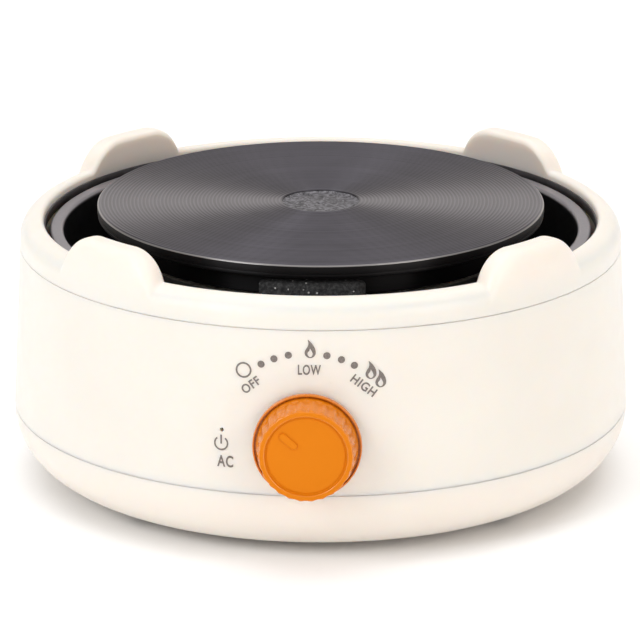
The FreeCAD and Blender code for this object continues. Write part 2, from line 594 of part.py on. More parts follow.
def make_knob():
    """A hollow moulded knob: flange, fluted side, raised rim round a sunk face, pointer bar and a round hub."""
    knob = body("knob", **FRONT)
    face = "KnobFace - DialDepth"
    hub_back = "KnobBack - 0.3"
    revolve(knob, [
        ("SpindleRadius", hub_back), ("HubRadius", hub_back), ("HubRadius", f"{face} - KnobWall"),
        ("KnobBody - KnobWall - 0.6", f"{face} - KnobWall"), ("KnobBody - KnobWall", "KnobBack"),
        ("KnobFlange", "KnobBack"), ("KnobFlange", "KnobBack + FlangeWidth"),
        ("KnobBody", "KnobBack + FlangeWidth"),
        ("FaceRadius", "KnobFace"), ("DialRecess", "KnobFace"), ("DialRecess - 0.3", face), ("0", face),
        ("0", f"{face} - KnobWall + 0.4"), ("SpindleRadius", f"{face} - KnobWall + 0.4")],
        {5: "0.4", 6: "0.6", 7: "0.4", 8: "0.7", 9: "0.4"})
    flute_reach = "KnobBody + FluteRadius - FluteDepth"
    flute = hole(knob, "0", flute_reach, "FluteRadius", "KnobBack + FlangeWidth + 0.6", "KnobFace + 1")
    polar(knob, [flute], size("FluteCount"))
    slab(knob, box_points("-PointerWidth / 2", "PointerWidth / 2", "PointerInner", "PointerOuter"),
         f"{face} - 0.2", "KnobFace - 0.1", {k: "PointerWidth / 2 - 0.01" for k in range(4)},
         turn="PointerTurn")
    node(knob, "knob")
    clip = body("knob_spring", **FRONT)
    revolve(clip, box_points("HubRadius", "HubRadius + 0.5", "KnobBack + 2", "KnobBack + 5"))
    notch(clip, box_points("-1.5", "1.5", "0", "HubRadius + 2"), "KnobBack + 1", "KnobBack + 6")
    node(clip, "knob_spring")


def make_spindle():
    """The thermostat's brass spindle, with a drive collar whose lug meets the two stops."""
    spindle = body("spindle", **FRONT)
    revolve(spindle, [
        ("0", "SpindleEnd"), ("6", "SpindleEnd"), ("6", "BushBack - 0.4"), ("SpindleRadius", "BushBack - 0.4"),
        ("SpindleRadius", "KnobFace - 3"), ("0", "KnobFace - 3")], {4: "0.5"})
    slab(spindle, box_points("-1.9", "1.9", "4", "9"), "SpindleEnd", "BushBack - 0.4", turn="PointerTurn")
    node(spindle, "spindle")


def make_thermostat():
    """The bracket, bush, ceramic stack, blades, bimetal strip, and the push pin from spindle to arm."""
    plate_back = "FrontBoss - BracketSheet"
    bracket = body("thermostat_bracket", **FRONT)
    slab(bracket, box_points("-15", "15", "-StackDrop - 6.5", "13.5"), plate_back, "FrontBoss",
         {k: "3" for k in range(4)})
    for turn in ("PointerTurn + StopSwing", "PointerTurn - KnobTravel - StopSwing"):
        slab(bracket, box_points("-1.4", "1.4", "6.8", "9.6"), "SpindleEnd + 0.2", f"{plate_back} + 0.2",
             turn=turn)
    hole(bracket, "0", "0", "BushRadius", f"{plate_back} - 1", "FrontBoss + 1")
    hole(bracket, "0", "-StackDrop", "BaseScrewRadius", f"{plate_back} - 1", "FrontBoss + 1")
    for side in ("-", ""):
        hole(bracket, f"{side}BracketScrewPlace", "0", "ScrewRadius", f"{plate_back} - 1", "FrontBoss + 1")
    node(bracket, "thermostat_bracket")
    turned("spindle_bush", [
        ("SpindleRadius + RunningGap", "BushBack"), ("BushRadius + 1.2", "BushBack"),
        ("BushRadius + 1.2", plate_back), ("BushRadius", plate_back), ("BushRadius", "FrontBoss + 4"),
        ("SpindleRadius + RunningGap", "FrontBoss + 4")], **FRONT)
    group("thermostat_screws", [
        screw((f"{side}BracketScrewPlace", "0", "AxisHeight"), "BracketScrewHead", "BracketScrewSeat",
              "BracketScrewSeat + 1.9", "ScrewRadius", f"{plate_back} - 1.5", facing="front")
        for side in ("-", "")])
    stack = {"at": ("0", "0", "AxisHeight - StackDrop"), "facing": "front"}
    fixed_back = "FixedBlade - BladeSheet"
    moving_back = "MovingBlade - BladeSheet"
    ring("ceramic_front", "BaseScrewRadius", "StackRadius", "FixedBlade", plate_back, **stack)
    ring("ceramic_middle", "BaseScrewRadius", "StackRadius", "MovingBlade", fixed_back, **stack)
    ring("ceramic_rear", "BaseScrewRadius", "StackRadius", "BimetalPlace", moving_back, **stack)
    ring("stack_rivet", "0", "BaseScrewRadius", "BimetalPlace - 4.2", "FrontBoss - 0.1", **stack)
    nut("stack_nut", "7", "BaseScrewRadius", "BimetalPlace - 3.8", "BimetalPlace - 0.8", **stack)
    bimetal = body("bimetal_strip", **stack)
    slab(bimetal, box_points("-BladeWidth / 2", "BladeWidth / 2", "-StackRadius", "22"), "BimetalPlace - 0.8",
         "BimetalPlace", {k: "2" for k in range(4)})
    hole(bimetal, "0", "0", "BaseScrewRadius", "BimetalPlace - 2", "BimetalPlace + 1")
    node(bimetal, "bimetal_strip")
    make_blades(stack, fixed_back, moving_back)


def make_blades(stack, fixed_back, moving_back):
    """The fixed contact blade and the moving blade's foot, each with its spade, the arm and the push pin."""
    fixed = body("fixed_blade", **stack)
    slab(fixed, box_points("-BladeWidth / 2", "BladeWidth / 2", "-StackRadius", "StackDrop + 10"), fixed_back,
         "FixedBlade", {2: "2", 3: "2"})
    slab(fixed, box_points("3", "8", "-13", "-StackRadius + 2"), fixed_back, "FixedBlade")
    rod(fixed, "0", "StackDrop + 7", "2", "FixedBlade - 1.4", "FixedBlade")
    hole(fixed, "0", "0", "BaseScrewRadius", f"{fixed_back} - 1", "FixedBlade + 1")
    hole(fixed, "0", "StackDrop", "PushPinRadius + 0.6", f"{fixed_back} - 1", "FixedBlade + 1")
    node(fixed, "fixed_blade")
    foot = body("moving_blade_foot", **stack)
    slab(foot, box_points("-BladeWidth / 2", "BladeWidth / 2", "-StackRadius", "StackRadius"), moving_back,
         "MovingBlade")
    slab(foot, box_points("-8", "-3", "-13", "-StackRadius + 2"), moving_back, "MovingBlade")
    hole(foot, "0", "0", "BaseScrewRadius", f"{moving_back} - 1", "MovingBlade + 1")
    node(foot, "moving_blade_foot")
    arm = body("contact_arm", **FRONT)
    slab(arm, box_points("-BladeWidth / 2", "BladeWidth / 2", "-ArmFoot", "10"), moving_back, "MovingBlade",
         {2: "2", 3: "2"})
    rod(arm, "0", "7", "2", moving_back, "MovingBlade + 1.25")
    node(arm, "contact_arm")
    ring("push_pin", "0", "PushPinRadius", "MovingBlade + 0.12", "FixedBlade + 1.6", **FRONT)


def make_indicator():
    """A small glass lamp in a moulded holder behind the pinhole."""
    place = {"at": ("0", "0", "LampHeight"), "facing": "front", "turn": "LampTurn"}
    holder = body("lamp_holder", **place)
    slab(holder, box_points("-5", "5", "-5", "5"), "LampBack - 2", "LampPlace", {k: "1" for k in range(4)})
    hole(holder, "0", "0", "LampRadius + 0.3", "LampBack", "LampPlace + 1")
    for side in ("-", ""):
        hole(holder, f"{side}1.8", "0", "0.9", "LampBack - 3", "LampBack + 1")
    node(holder, "lamp_holder")
    turned("indicator_lamp", [("0", "LampBack + 0.2"), ("LampRadius", "LampBack + 0.2"),
                              ("LampRadius", "LampPlace - 0.6"), ("0", "LampPlace - 0.6")], {2: "1.6"}, **place)


# ---------------------------------------------------------------- rear entry and wiring

def make_gland():
    """The cord's entry: a threaded gland with its seal, domed nut outside and lock nut inside."""
    rear = {"at": ("0", "0", "GlandHeight"), "facing": "rear"}
    seat = "GlandFace + GlandCollar"
    nut_top = "GlandFace + GlandNutFoot"
    stub_end = "GlandFace + GlandStub + 0.1"
    gland = body("gland_body", **rear)
    slab(gland, hexagon("GlandFlats"), "GlandFace", seat)
    rod(gland, "0", "0", "GlandThread", "GlandFace - GlandDepth", "GlandFace")
    rod(gland, "0", "0", "GlandThread - 0.6", seat, "GlandFace + GlandStub")
    hole(gland, "0", "0", "GlandBore + 0.4", "GlandFace - GlandDepth - 1", nut_top)
    node(gland, "gland_body")
    cap = body("gland_nut", **rear)
    slab(cap, hexagon("GlandNutFlats"), f"{seat} + 0.3", nut_top)
    revolve(cap, [("0", nut_top), ("7.9", nut_top), ("6.2", "GlandEnd"), ("0", "GlandEnd")], {2: "2"})
    hole(cap, "0", "0", "GlandThread - 0.5", seat, f"{stub_end} + SealDepth + 0.1")
    hole(cap, "0", "0", "GlandBore", nut_top, "GlandEnd + 1")
    node(cap, "gland_nut")
    ring("gland_seal", "GlandBore + 0.2", "GlandThread - 0.8", stub_end, f"{stub_end} + SealDepth", **rear)
    nut("gland_lock_nut", "LockNutFlats", "GlandThread", "GlandFace - LockNutPlace",
        "GlandFace - LockNutPlace + LockNutHeight", **rear)


def make_terminal_block():
    """A four-way block on the base floor, with a brass sleeve and two clamp screws in each way."""
    floor = "FloorHeight + ShellWall"
    block = body("terminal_block")
    block_top = f"{floor} + BlockHeight"
    clamp_top = f"{block_top} - 1"
    slab(block, box_points("-BlockHalf", "BlockHalf", "BlockFront", "BlockBack"), floor, block_top,
         {k: "1.2" for k in range(4)})
    ways = [f"WayPitch * {k}" for k in (-1.5, -0.5, 0.5, 1.5)]
    ends = ("BlockFront + ClampPlace", "BlockBack - ClampPlace")
    for way in ways:
        hole(block, way, "WayHeight", "SleeveRadius", "-BlockBack - 1", "-BlockFront + 1", role="XZ_Plane")
        for end in ends:
            hole(block, way, end, "ClampRadius + 0.1", "WayHeight", f"{block_top} + 1")
    node(block, "terminal_block")
    sleeves, screws = [], []
    for way in ways:
        sleeve = body("sleeve", at=(way, "0", "WayHeight"), facing="rear")
        revolve(sleeve, box_points("LeadRadius + LeadFit", "SleeveRadius", "BlockFront + SleeveInset",
                                   "BlockBack - SleeveInset"))
        sleeves.append(sleeve)
        for end in ends:
            clamp = body("clamp_screw", at=(way, end, "0"))
            revolve(clamp, box_points("0", "ClampRadius", "WayHeight + SleeveRadius", clamp_top))
            notch(clamp, box_points("-1.5", "1.5", "-0.25", "0.25"), f"{clamp_top} - 0.8", clamp_top)
            screws.append(clamp)
    group("terminal_sleeves", sleeves)
    group("clamp_screws", screws)


def make_fuse_and_earth():
    """The thermal fuse in its saddle under the liner, and the earth tag with its screw."""
    outside = "LinerFloor - LinerSheet"
    tag_low = f"{outside} - TagSheet"
    turned("thermal_fuse", box_points("0", "FuseRadius", "-FuseHalf", "FuseHalf"), {1: "0.5", 2: "0.5"},
           at=("FuseX", "FuseY", "FuseHeight"), facing="rear")
    saddle = body("fuse_saddle")
    slab(saddle, box_points("FuseX - SaddleHalf", "FuseX + SaddleHalf", "FuseHeight - 3", outside),
         "-FuseY - 2.5", "-FuseY + 2.5", {0: "1.5", 1: "1.5"}, role="XZ_Plane")
    hole(saddle, "FuseX", "FuseHeight", "FuseRadius", "-FuseY - 4", "-FuseY + 4", role="XZ_Plane")
    node(saddle, "fuse_saddle")
    tag = body("earth_tag", at=("EarthX", "EarthY", "0"))
    rod(tag, "0", "0", "TagRadius", tag_low, outside)
    slab(tag, box_points("0", "TagReach", "-1.6", "1.6"), tag_low, outside)
    hole(tag, "0", "0", "BaseScrewRadius", f"{outside} - 1", f"{outside} + 1")
    node(tag, "earth_tag")
    group("earth_screw", [screw(("EarthX", "EarthY", "0"), "2.8", f"{tag_low} - 2", tag_low,
                                "BaseScrewRadius", "LinerFloor + 3", flip=True)])


bends = []


def lead(label, radius, stops):
    """An insulated lead through a list of places: straight runs joined by tangent arcs."""
    points = [Vector(*stop) for stop in stops]
    edges, start = [], points[0]
    for before, corner, after in zip(points, points[1:], points[2:]):
        back, ahead = before - corner, after - corner
        run = min(back.Length, ahead.Length)
        turn = math.pi - back.getAngle(ahead)
        cut = 0.45 * run
        first, last = corner + back.normalize() * cut, corner + ahead.normalize() * cut
        inward = (back + ahead).normalize()
        bend = cut / math.tan(turn / 2)
        middle = corner + inward * (bend / math.cos(turn / 2) - bend)
        edges += [Part.LineSegment(start, first).toShape(), Part.Arc(first, middle, last).toShape()]
        start = last
        bends.append(round(bend, 1))
    edges.append(Part.LineSegment(start, points[-1]).toShape())
    tube(Part.Wire(edges), radius, label)


def make_leads():
    """The wiring between block, thermostat, fuse, coil and earth tag."""
    wire = size("LeadRadius")
    way = size("WayPitch")
    entry = size("BlockFront") + 4
    level = size("WayHeight")
    pin_x, pin_y, pin_z = size("LegOffset"), -size("PinPlace") - 1, size("PinLow")
    pass_x, pass_y = size("LeadPassX"), size("LeadPassY")
    fuse_x, fuse_y, fuse_z = size("FuseX"), size("FuseY"), size("FuseHeight")
    earth_x, earth_y = size("EarthX"), size("EarthY")
    spade_x, spade_z = 5.5, size("AxisHeight - StackDrop") - 10.5
    above_shield = size("PostTop") + 4.5
    lead("lead_live", wire, [
        (-1.5 * way, entry, level), (-1.5 * way, entry - 14, level), (-34, 12, 10), (-42, -14, 9.5),
        (-34, -42, 9.5), (-12, -60, 12), (spade_x, -72, spade_z),
        (spade_x, -size("FixedBlade - BladeSheet"), spade_z)])
    lead("lead_switched", wire, [
        (-spade_x, -size("MovingBlade - BladeSheet"), spade_z), (-spade_x, -70, spade_z), (-24, -58, 22),
        (-pass_x + 4, pass_y - 8, 32), (-pass_x, pass_y, 44), (-pass_x + 2, pass_y - 4, above_shield + 1),
        (fuse_x - 6, fuse_y - 20, fuse_z - 2), (fuse_x, fuse_y - 15, fuse_z), (fuse_x, fuse_y - 6, fuse_z)])
    lead("lead_coil_live", wire, [
        (fuse_x, fuse_y + 6, fuse_z), (fuse_x, fuse_y + 15, fuse_z), (fuse_x + 15, fuse_y + 12, above_shield),
        (-pin_x, fuse_y - 18, above_shield), (-pin_x, pin_y, above_shield), (-pin_x, pin_y, pin_z)])
    lead("lead_coil_neutral", wire, [
        (pin_x, pin_y, pin_z), (pin_x, pin_y, above_shield), (pin_x + 6, pin_y + 14, above_shield),
        (pass_x - 12, pass_y - 10, above_shield + 1), (pass_x, pass_y, above_shield - 3),
        (pass_x - 2, pass_y + 4, 40), (32, -4, 26), (14, 14, 15), (0.5 * way, entry - 14, level),
        (0.5 * way, entry, level)])
    lead("lead_earth", wire, [
        (earth_x + size("TagReach"), earth_y, fuse_z), (earth_x + 22, earth_y, fuse_z - 1),
        (-9, 14, above_shield), (-2, 12, 44), (10, 16, 30), (24, 14, 18), (1.5 * way, entry - 12, level), (1.5 * way, entry, level)])


make_top_ring()
make_housing()
make_base()
make_feet()
make_hot_plate()
make_heating_element()
make_terminal_head()
make_under_layers()
make_liner()
make_shield_and_posts()
make_knob()
make_spindle()
make_thermostat()
make_indicator()
make_gland()
make_terminal_block()
make_fuse_and_earth()
make_leads()
print("lead bend radii, mm:", bends)

document.recompute()
for thing in document.Objects:
    if "Invalid" in thing.State or "Error" in thing.State:
        raise RuntimeError(f"{thing.Label} failed: {thing.State}")
os.makedirs("parts", exist_ok=True)
for thing in nodes:
    shape = thing.Shape
    if shape.isNull() or not shape.isValid():
        raise RuntimeError(f"{thing.Label} has no valid shape")
for thing in nodes:
    thing.Shape.exportStep(f"parts/{thing.Label}.step")
print(len(nodes), "nodes")
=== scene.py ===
"""Looks of a table-top electric hot plate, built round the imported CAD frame.

Lengths in the tables below are millimetres, turned into metres by MM. +Z is up and the knob faces -Y.
"""

import json
import math

import bpy
from mathutils import Matrix, Vector


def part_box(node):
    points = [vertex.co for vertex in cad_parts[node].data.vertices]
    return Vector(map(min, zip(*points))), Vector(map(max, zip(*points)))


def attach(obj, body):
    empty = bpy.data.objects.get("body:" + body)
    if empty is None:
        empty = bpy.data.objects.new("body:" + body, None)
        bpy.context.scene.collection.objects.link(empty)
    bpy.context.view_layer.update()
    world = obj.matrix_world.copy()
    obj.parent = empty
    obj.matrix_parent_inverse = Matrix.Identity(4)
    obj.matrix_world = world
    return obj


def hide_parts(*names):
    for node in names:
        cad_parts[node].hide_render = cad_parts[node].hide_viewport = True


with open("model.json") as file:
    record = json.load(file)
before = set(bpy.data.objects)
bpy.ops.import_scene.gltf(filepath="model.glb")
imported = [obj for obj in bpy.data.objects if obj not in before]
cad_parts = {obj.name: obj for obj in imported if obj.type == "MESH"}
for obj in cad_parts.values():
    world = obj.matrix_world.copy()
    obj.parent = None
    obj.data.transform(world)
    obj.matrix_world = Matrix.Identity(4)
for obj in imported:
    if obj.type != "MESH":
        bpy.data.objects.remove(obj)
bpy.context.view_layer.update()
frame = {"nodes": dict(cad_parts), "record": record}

MM = 0.001
TURN = 2 * math.pi

# Corners of CAD nodes, read from the frame, in millimetres.
RING_LOW, RING_HIGH = (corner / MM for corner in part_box("top_ring"))
PLATE_LOW, PLATE_HIGH = (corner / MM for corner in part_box("hot_plate"))
HOUSING_LOW, HOUSING_HIGH = (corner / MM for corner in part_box("housing"))
KNOB_LOW, KNOB_HIGH = (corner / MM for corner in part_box("knob"))
HEAD_LOW, HEAD_HIGH = (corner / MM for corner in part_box("terminal_head"))
BASE_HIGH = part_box("base")[1] / MM
LINER_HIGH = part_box("liner_dish")[1] / MM

PLATE_RADIUS = PLATE_HIGH.x
PLATE_TOP = PLATE_HIGH.z
KNOB_AXIS = (KNOB_LOW.z + KNOB_HIGH.z) / 2
KNOB_FACE = -KNOB_LOW.y
KNOB_BACK = -KNOB_HIGH.y

# The housing's wall, as (radius, height) at its foot and its head, and the height where the base ends.
WALL_HEAD_RADIUS = 104.45
WALL_FOOT = Vector((BASE_HIGH.x, HOUSING_LOW.z))
WALL_HEAD = Vector((WALL_HEAD_RADIUS, HOUSING_HIGH.z))
BASE_SEAM = 25.8

# The plate's sunk centre and the even grooves round it.
CENTRE_RADIUS = 13.3
CENTRE_DEPTH = 1.0
GROOVE_START = CENTRE_RADIUS + 1.0
GROOVE_END = PLATE_RADIUS - 1.2
GROOVE_COUNT = 48
GROOVE_PITCH = (GROOVE_END - GROOVE_START) / GROOVE_COUNT
GROOVE_DEPTH = 0.14


# ---------------------------------------------------------------- mesh tools

def new_piece(name, verts, faces, material, body="stove", slot=None, sharp=None):
    """A smooth mesh piece in metres from points in millimetres, riding on a CAD body.

    Edges steeper than sharp degrees stay hard.
    """
    mesh = bpy.data.meshes.new(name)
    mesh.from_pydata([tuple(c * MM for c in v) for v in verts], [], faces)
    mesh.validate()
    piece = bpy.data.objects.new(name, mesh)
    bpy.context.scene.collection.objects.link(piece)
    mesh.materials.append(material)
    mesh.shade_smooth()
    if sharp is not None:
        mesh.set_sharp_from_angle(angle=math.radians(sharp))
    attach(piece, body)
    return piece


def wrap(rows, columns, closed_rows=False):
    """Quads over a grid of rows x columns points whose columns close on themselves."""
    faces = []
    for i in range(rows if closed_rows else rows - 1):
        below, above = i * columns, (i + 1) % rows * columns
        for j in range(columns):
            k = (j + 1) % columns
            faces.append((below + j, below + k, above + k, above + j))
    return faces


def rounded(points, radii, steps=4):
    """An open outline of (radius, height) with the corner at each listed index turned into an arc."""
    out = []
    for i, point in enumerate(points):
        corner = Vector(point)
        radius = radii.get(i, 0)
        if not radius or i in (0, len(points) - 1):
            out.append(corner)
            continue
        back = (Vector(points[i - 1]) - corner).normalized()
        ahead = (Vector(points[i + 1]) - corner).normalized()
        half = back.angle(ahead) / 2
        reach = radius / math.tan(half)
        centre = corner + (back + ahead).normalized() * (radius / math.sin(half))
        first, last = corner + back * reach - centre, corner + ahead * reach - centre
        sweep = first.angle_signed(last)
        for k in range(steps + 1):
            out.append(centre + Matrix.Rotation(-sweep * k / steps, 2) @ first)
    return out


def lathe(name, outline, material, segments, closed=False, to_world=None, shape=None, **place):
    """Turns an outline of (radius, height) about Z. One that isn't closed gets flat caps at its two ends.

    shape gives a point's own radius from its place in the outline, its angle and the outline's radius.
    """
    outline = [Vector(p) for p in outline]
    verts = []
    for i, (radius, height) in enumerate(outline):
        for j in range(segments):
            angle = TURN * j / segments
            r = shape(i, angle, radius) if shape else radius
            verts.append(Vector((r * math.sin(angle), -r * math.cos(angle), height)))
    faces = wrap(len(outline), segments, closed)
    if not closed:
        for row, flip in ((0, True), (len(outline) - 1, False)):
            if outline[row].x < 1e-6:
                continue
            cap = [row * segments + j for j in range(segments)]
            faces.append(cap[::-1] if flip else cap)
    if to_world:
        verts = [to_world @ v for v in verts]
    return new_piece(name, verts, faces, material, **place)


# ---------------------------------------------------------------- material tools

class Shader:
    """A Principled material with a few short ways to add procedural detail."""

    def __init__(self, name, color, roughness=0.5, **values):
        self.material = bpy.data.materials.new(name)
        self.material.use_nodes = True
        self.tree = self.material.node_tree
        self.surface = self.tree.nodes["Principled BSDF"]
        self.set("Base Color", (*color, 1))
        self.set("Roughness", roughness)
        for key, value in values.items():
            self.set(key.replace("_", " ").title().replace("Ior", "IOR"), value)
        self.place = self.add("ShaderNodeTexCoord").outputs["Object"]

    def set(self, key, value):
        """Sets a value of the surface."""
        self.surface.inputs[key].default_value = value

    def add(self, kind, **values):
        """Adds a node with some of its properties set."""
        made = self.tree.nodes.new(kind)
        for key, value in values.items():
            setattr(made, key, value)
        return made

    def link(self, source, target):
        """Joins an output to an input."""
        self.tree.links.new(source, target)

    def parts_of_place(self):
        """The outputs X, Y and Z of the shaded point's place."""
        made = self.add("ShaderNodeSeparateXYZ")
        self.link(self.place, made.inputs["Vector"])
        return made.outputs

    def compute(self, operation, *values):
        """The result of a math node whose inputs are outputs of other nodes or plain numbers."""
        made = self.add("ShaderNodeMath", operation=operation)
        for socket, value in zip(made.inputs, values):
            if isinstance(value, (int, float)):
                socket.default_value = value
            else:
                self.link(value, socket)
        return made.outputs[0]

    def noise(self, size, detail=3.0, rough=0.5, stretch=(1, 1, 1), distortion=0.0):
        """Noise with features of about size millimetres."""
        scale = self.add("ShaderNodeMapping")
        scale.inputs["Scale"].default_value = stretch
        self.link(self.place, scale.inputs["Vector"])
        made = self.add("ShaderNodeTexNoise")
        made.inputs["Scale"].default_value = 1 / (size * MM)
        made.inputs["Detail"].default_value = detail
        made.inputs["Roughness"].default_value = rough
        made.inputs["Distortion"].default_value = distortion
        self.link(scale.outputs["Vector"], made.inputs["Vector"])
        return made.outputs["Fac"]

    def ramp(self, source, low, high, at=(0.0, 1.0)):
        """Maps a value from the range at to the range low to high, clamped at both ends."""
        made = self.add("ShaderNodeMapRange")
        made.inputs["From Min"].default_value, made.inputs["From Max"].default_value = at
        made.inputs["To Min"].default_value, made.inputs["To Max"].default_value = low, high
        self.link(source, made.inputs["Value"])
        return made.outputs["Result"]

    def bump(self, source, depth, strength):
        """Adds relief of about depth millimetres."""
        made = self.add("ShaderNodeBump")
        made.inputs["Distance"].default_value = depth * MM
        made.inputs["Strength"].default_value = strength
        self.link(source, made.inputs["Height"])
        before = self.surface.inputs["Normal"]
        if before.is_linked:
            self.link(before.links[0].from_socket, made.inputs["Normal"])
        self.link(made.outputs["Normal"], before)


def mix_colors(shader, factor, color_a, color_b):
    """A colour between two, by factor."""
    made = shader.add("ShaderNodeMix", data_type="RGBA")
    shader.link(factor, made.inputs[0])
    for index, color in ((6, color_a), (7, color_b)):
        if isinstance(color, tuple):
            made.inputs[index].default_value = (*color, 1)
        else:
            shader.link(color, made.inputs[index])
    return made.outputs[2]


def tinted(shader, color, other, factor):
    """Gives the surface a colour between two, by factor."""
    shader.link(mix_colors(shader, factor, color, other), shader.surface.inputs["Base Color"])


def moulded_plastic(name, color, other, roughness, specular=0.45, glow=0.0):
    """Moulded plastic: a slow drift of colour, a fine grain, an uneven gloss, and light inside it by glow."""
    shader = Shader(name, color, roughness, specular_ior_level=specular, subsurface_weight=glow,
                    subsurface_radius=(1.0, 0.72, 0.5), subsurface_scale=5 * MM)
    tinted(shader, color, other, shader.ramp(shader.noise(38, 2), 0, 1, (0.35, 0.65)))
    shader.link(shader.ramp(shader.noise(6, 3), roughness - 0.05, roughness + 0.07, (0.3, 0.7)),
                shader.surface.inputs["Roughness"])
    shader.bump(shader.noise(0.35, 2), 0.012, 0.5)
    shader.bump(shader.noise(14, 1), 0.05, 0.25)
    return shader.material


def brushed_metal(name, color, other, roughness):
    """Sheet metal: fine lines one way, mottled gloss and slight discolouring."""
    shader = Shader(name, color, roughness, metallic=1.0)
    tinted(shader, color, other, shader.ramp(shader.noise(9, 4), 0, 1, (0.35, 0.7)))
    lines = shader.noise(1.6, 3, 0.6, stretch=(1, 1, 12))
    shader.link(shader.ramp(lines, roughness - 0.08, roughness + 0.12), shader.surface.inputs["Roughness"])
    shader.bump(lines, 0.01, 0.5)
    return shader.material


def rough_mineral(name, color, other, roughness, size, depth):
    """Ceramic, fibre or rubber: speckled, with a coarse relief."""
    shader = Shader(name, color, roughness)
    tinted(shader, color, other, shader.ramp(shader.noise(size, 5, 0.7), 0, 1, (0.4, 0.62)))
    shader.bump(shader.noise(size * 0.5, 4), depth, 0.8)
    return shader.material


def braided(name, color, other):
    """A braided sleeve: two crossing sets of fine bands."""
    shader = Shader(name, color, 0.8)
    bands = []
    for slant in (1, -1):
        turn = shader.add("ShaderNodeMapping")
        turn.inputs["Rotation"].default_value = (0.7 * slant, 0.9, 0.8 * slant)
        shader.link(shader.place, turn.inputs["Vector"])
        wave = shader.add("ShaderNodeTexWave", bands_direction="X")
        wave.inputs["Scale"].default_value = 330
        wave.inputs["Distortion"].default_value = 0.4
        shader.link(turn.outputs["Vector"], wave.inputs["Vector"])
        bands.append(wave.outputs["Fac"])
    weave = shader.compute("MAXIMUM", *bands)
    tinted(shader, other, color, weave)
    shader.bump(weave, 0.12, 0.8)
    return shader.material


CREAM = moulded_plastic("cream_plastic", (0.81, 0.745, 0.68), (0.79, 0.725, 0.66), 0.34, glow=0.6)
ORANGE = moulded_plastic("orange_plastic", (0.66, 0.185, 0.003), (0.60, 0.165, 0.002), 0.26, specular=0.5)
ORANGE_FACE = moulded_plastic("orange_face", (0.66, 0.185, 0.003), (0.63, 0.175, 0.002), 0.4, specular=0.1)
# The knob rim's rounded edges: a glossier copy of the orange, also painted a touch paler as a painted
# highlight.
ORANGE_EDGE_HIGHLIGHT = moulded_plastic("orange_edge_highlight", (0.68, 0.20, 0.004), (0.64, 0.18, 0.003), 0.12, specular=0.7)
RUBBER = rough_mineral("foot_rubber", (0.018, 0.018, 0.018), (0.03, 0.03, 0.03), 0.75, 0.8, 0.03)
STEEL = brushed_metal("sheet_steel", (0.60, 0.60, 0.58), (0.50, 0.50, 0.49), 0.36)
ZINC = brushed_metal("zinc_steel", (0.66, 0.66, 0.62), (0.55, 0.54, 0.48), 0.28)
SHEATH = brushed_metal("element_sheath", (0.12, 0.10, 0.09), (0.20, 0.14, 0.10), 0.45)
BRASS = brushed_metal("brass", (0.70, 0.46, 0.16), (0.55, 0.34, 0.12), 0.30)
BIMETAL = brushed_metal("bimetal", (0.45, 0.40, 0.34), (0.38, 0.33, 0.28), 0.35)
FUSE = brushed_metal("fuse_metal", (0.62, 0.60, 0.56), (0.52, 0.50, 0.46), 0.32)
CERAMIC = rough_mineral("white_ceramic", (0.78, 0.75, 0.66), (0.70, 0.66, 0.57), 0.55, 1.2, 0.02)
FIBRE = rough_mineral("fibre_pad", (0.72, 0.70, 0.64), (0.58, 0.55, 0.50), 0.9, 1.6, 0.15)
BLACK = moulded_plastic("black_plastic", (0.020, 0.020, 0.021), (0.028, 0.028, 0.028), 0.42)
NYLON = moulded_plastic("natural_nylon", (0.70, 0.67, 0.56), (0.64, 0.60, 0.50), 0.45)
BROWN = braided("brown_sleeve", (0.10, 0.035, 0.015), (0.05, 0.018, 0.01))
BLUE = braided("blue_sleeve", (0.02, 0.06, 0.25), (0.01, 0.03, 0.12))
GREEN = braided("green_sleeve", (0.05, 0.22, 0.03), (0.45, 0.38, 0.03))


def liner_coating():
    """Dark coated steel, pale grey on the lip."""
    shader = Shader("liner_steel", (0.05, 0.05, 0.055), 0.35, metallic=0.75)
    height = shader.parts_of_place()["Z"]
    lip = shader.ramp(height, 0, 1, ((LINER_HIGH.z - 1.6) * MM, (LINER_HIGH.z - 0.5) * MM))
    blotch = shader.ramp(shader.noise(4, 4), 0, 1, (0.35, 0.65))
    mottle = mix_colors(shader, blotch, (0.012, 0.012, 0.013), (0.022, 0.021, 0.023))
    shader.link(mix_colors(shader, lip, mottle, (0.38, 0.36, 0.385)), shader.surface.inputs["Base Color"])
    shader.link(shader.ramp(shader.noise(1.5, 3), 0.30, 0.46), shader.surface.inputs["Roughness"])
    shader.bump(shader.noise(0.5, 2), 0.01, 0.4)
    return shader.material


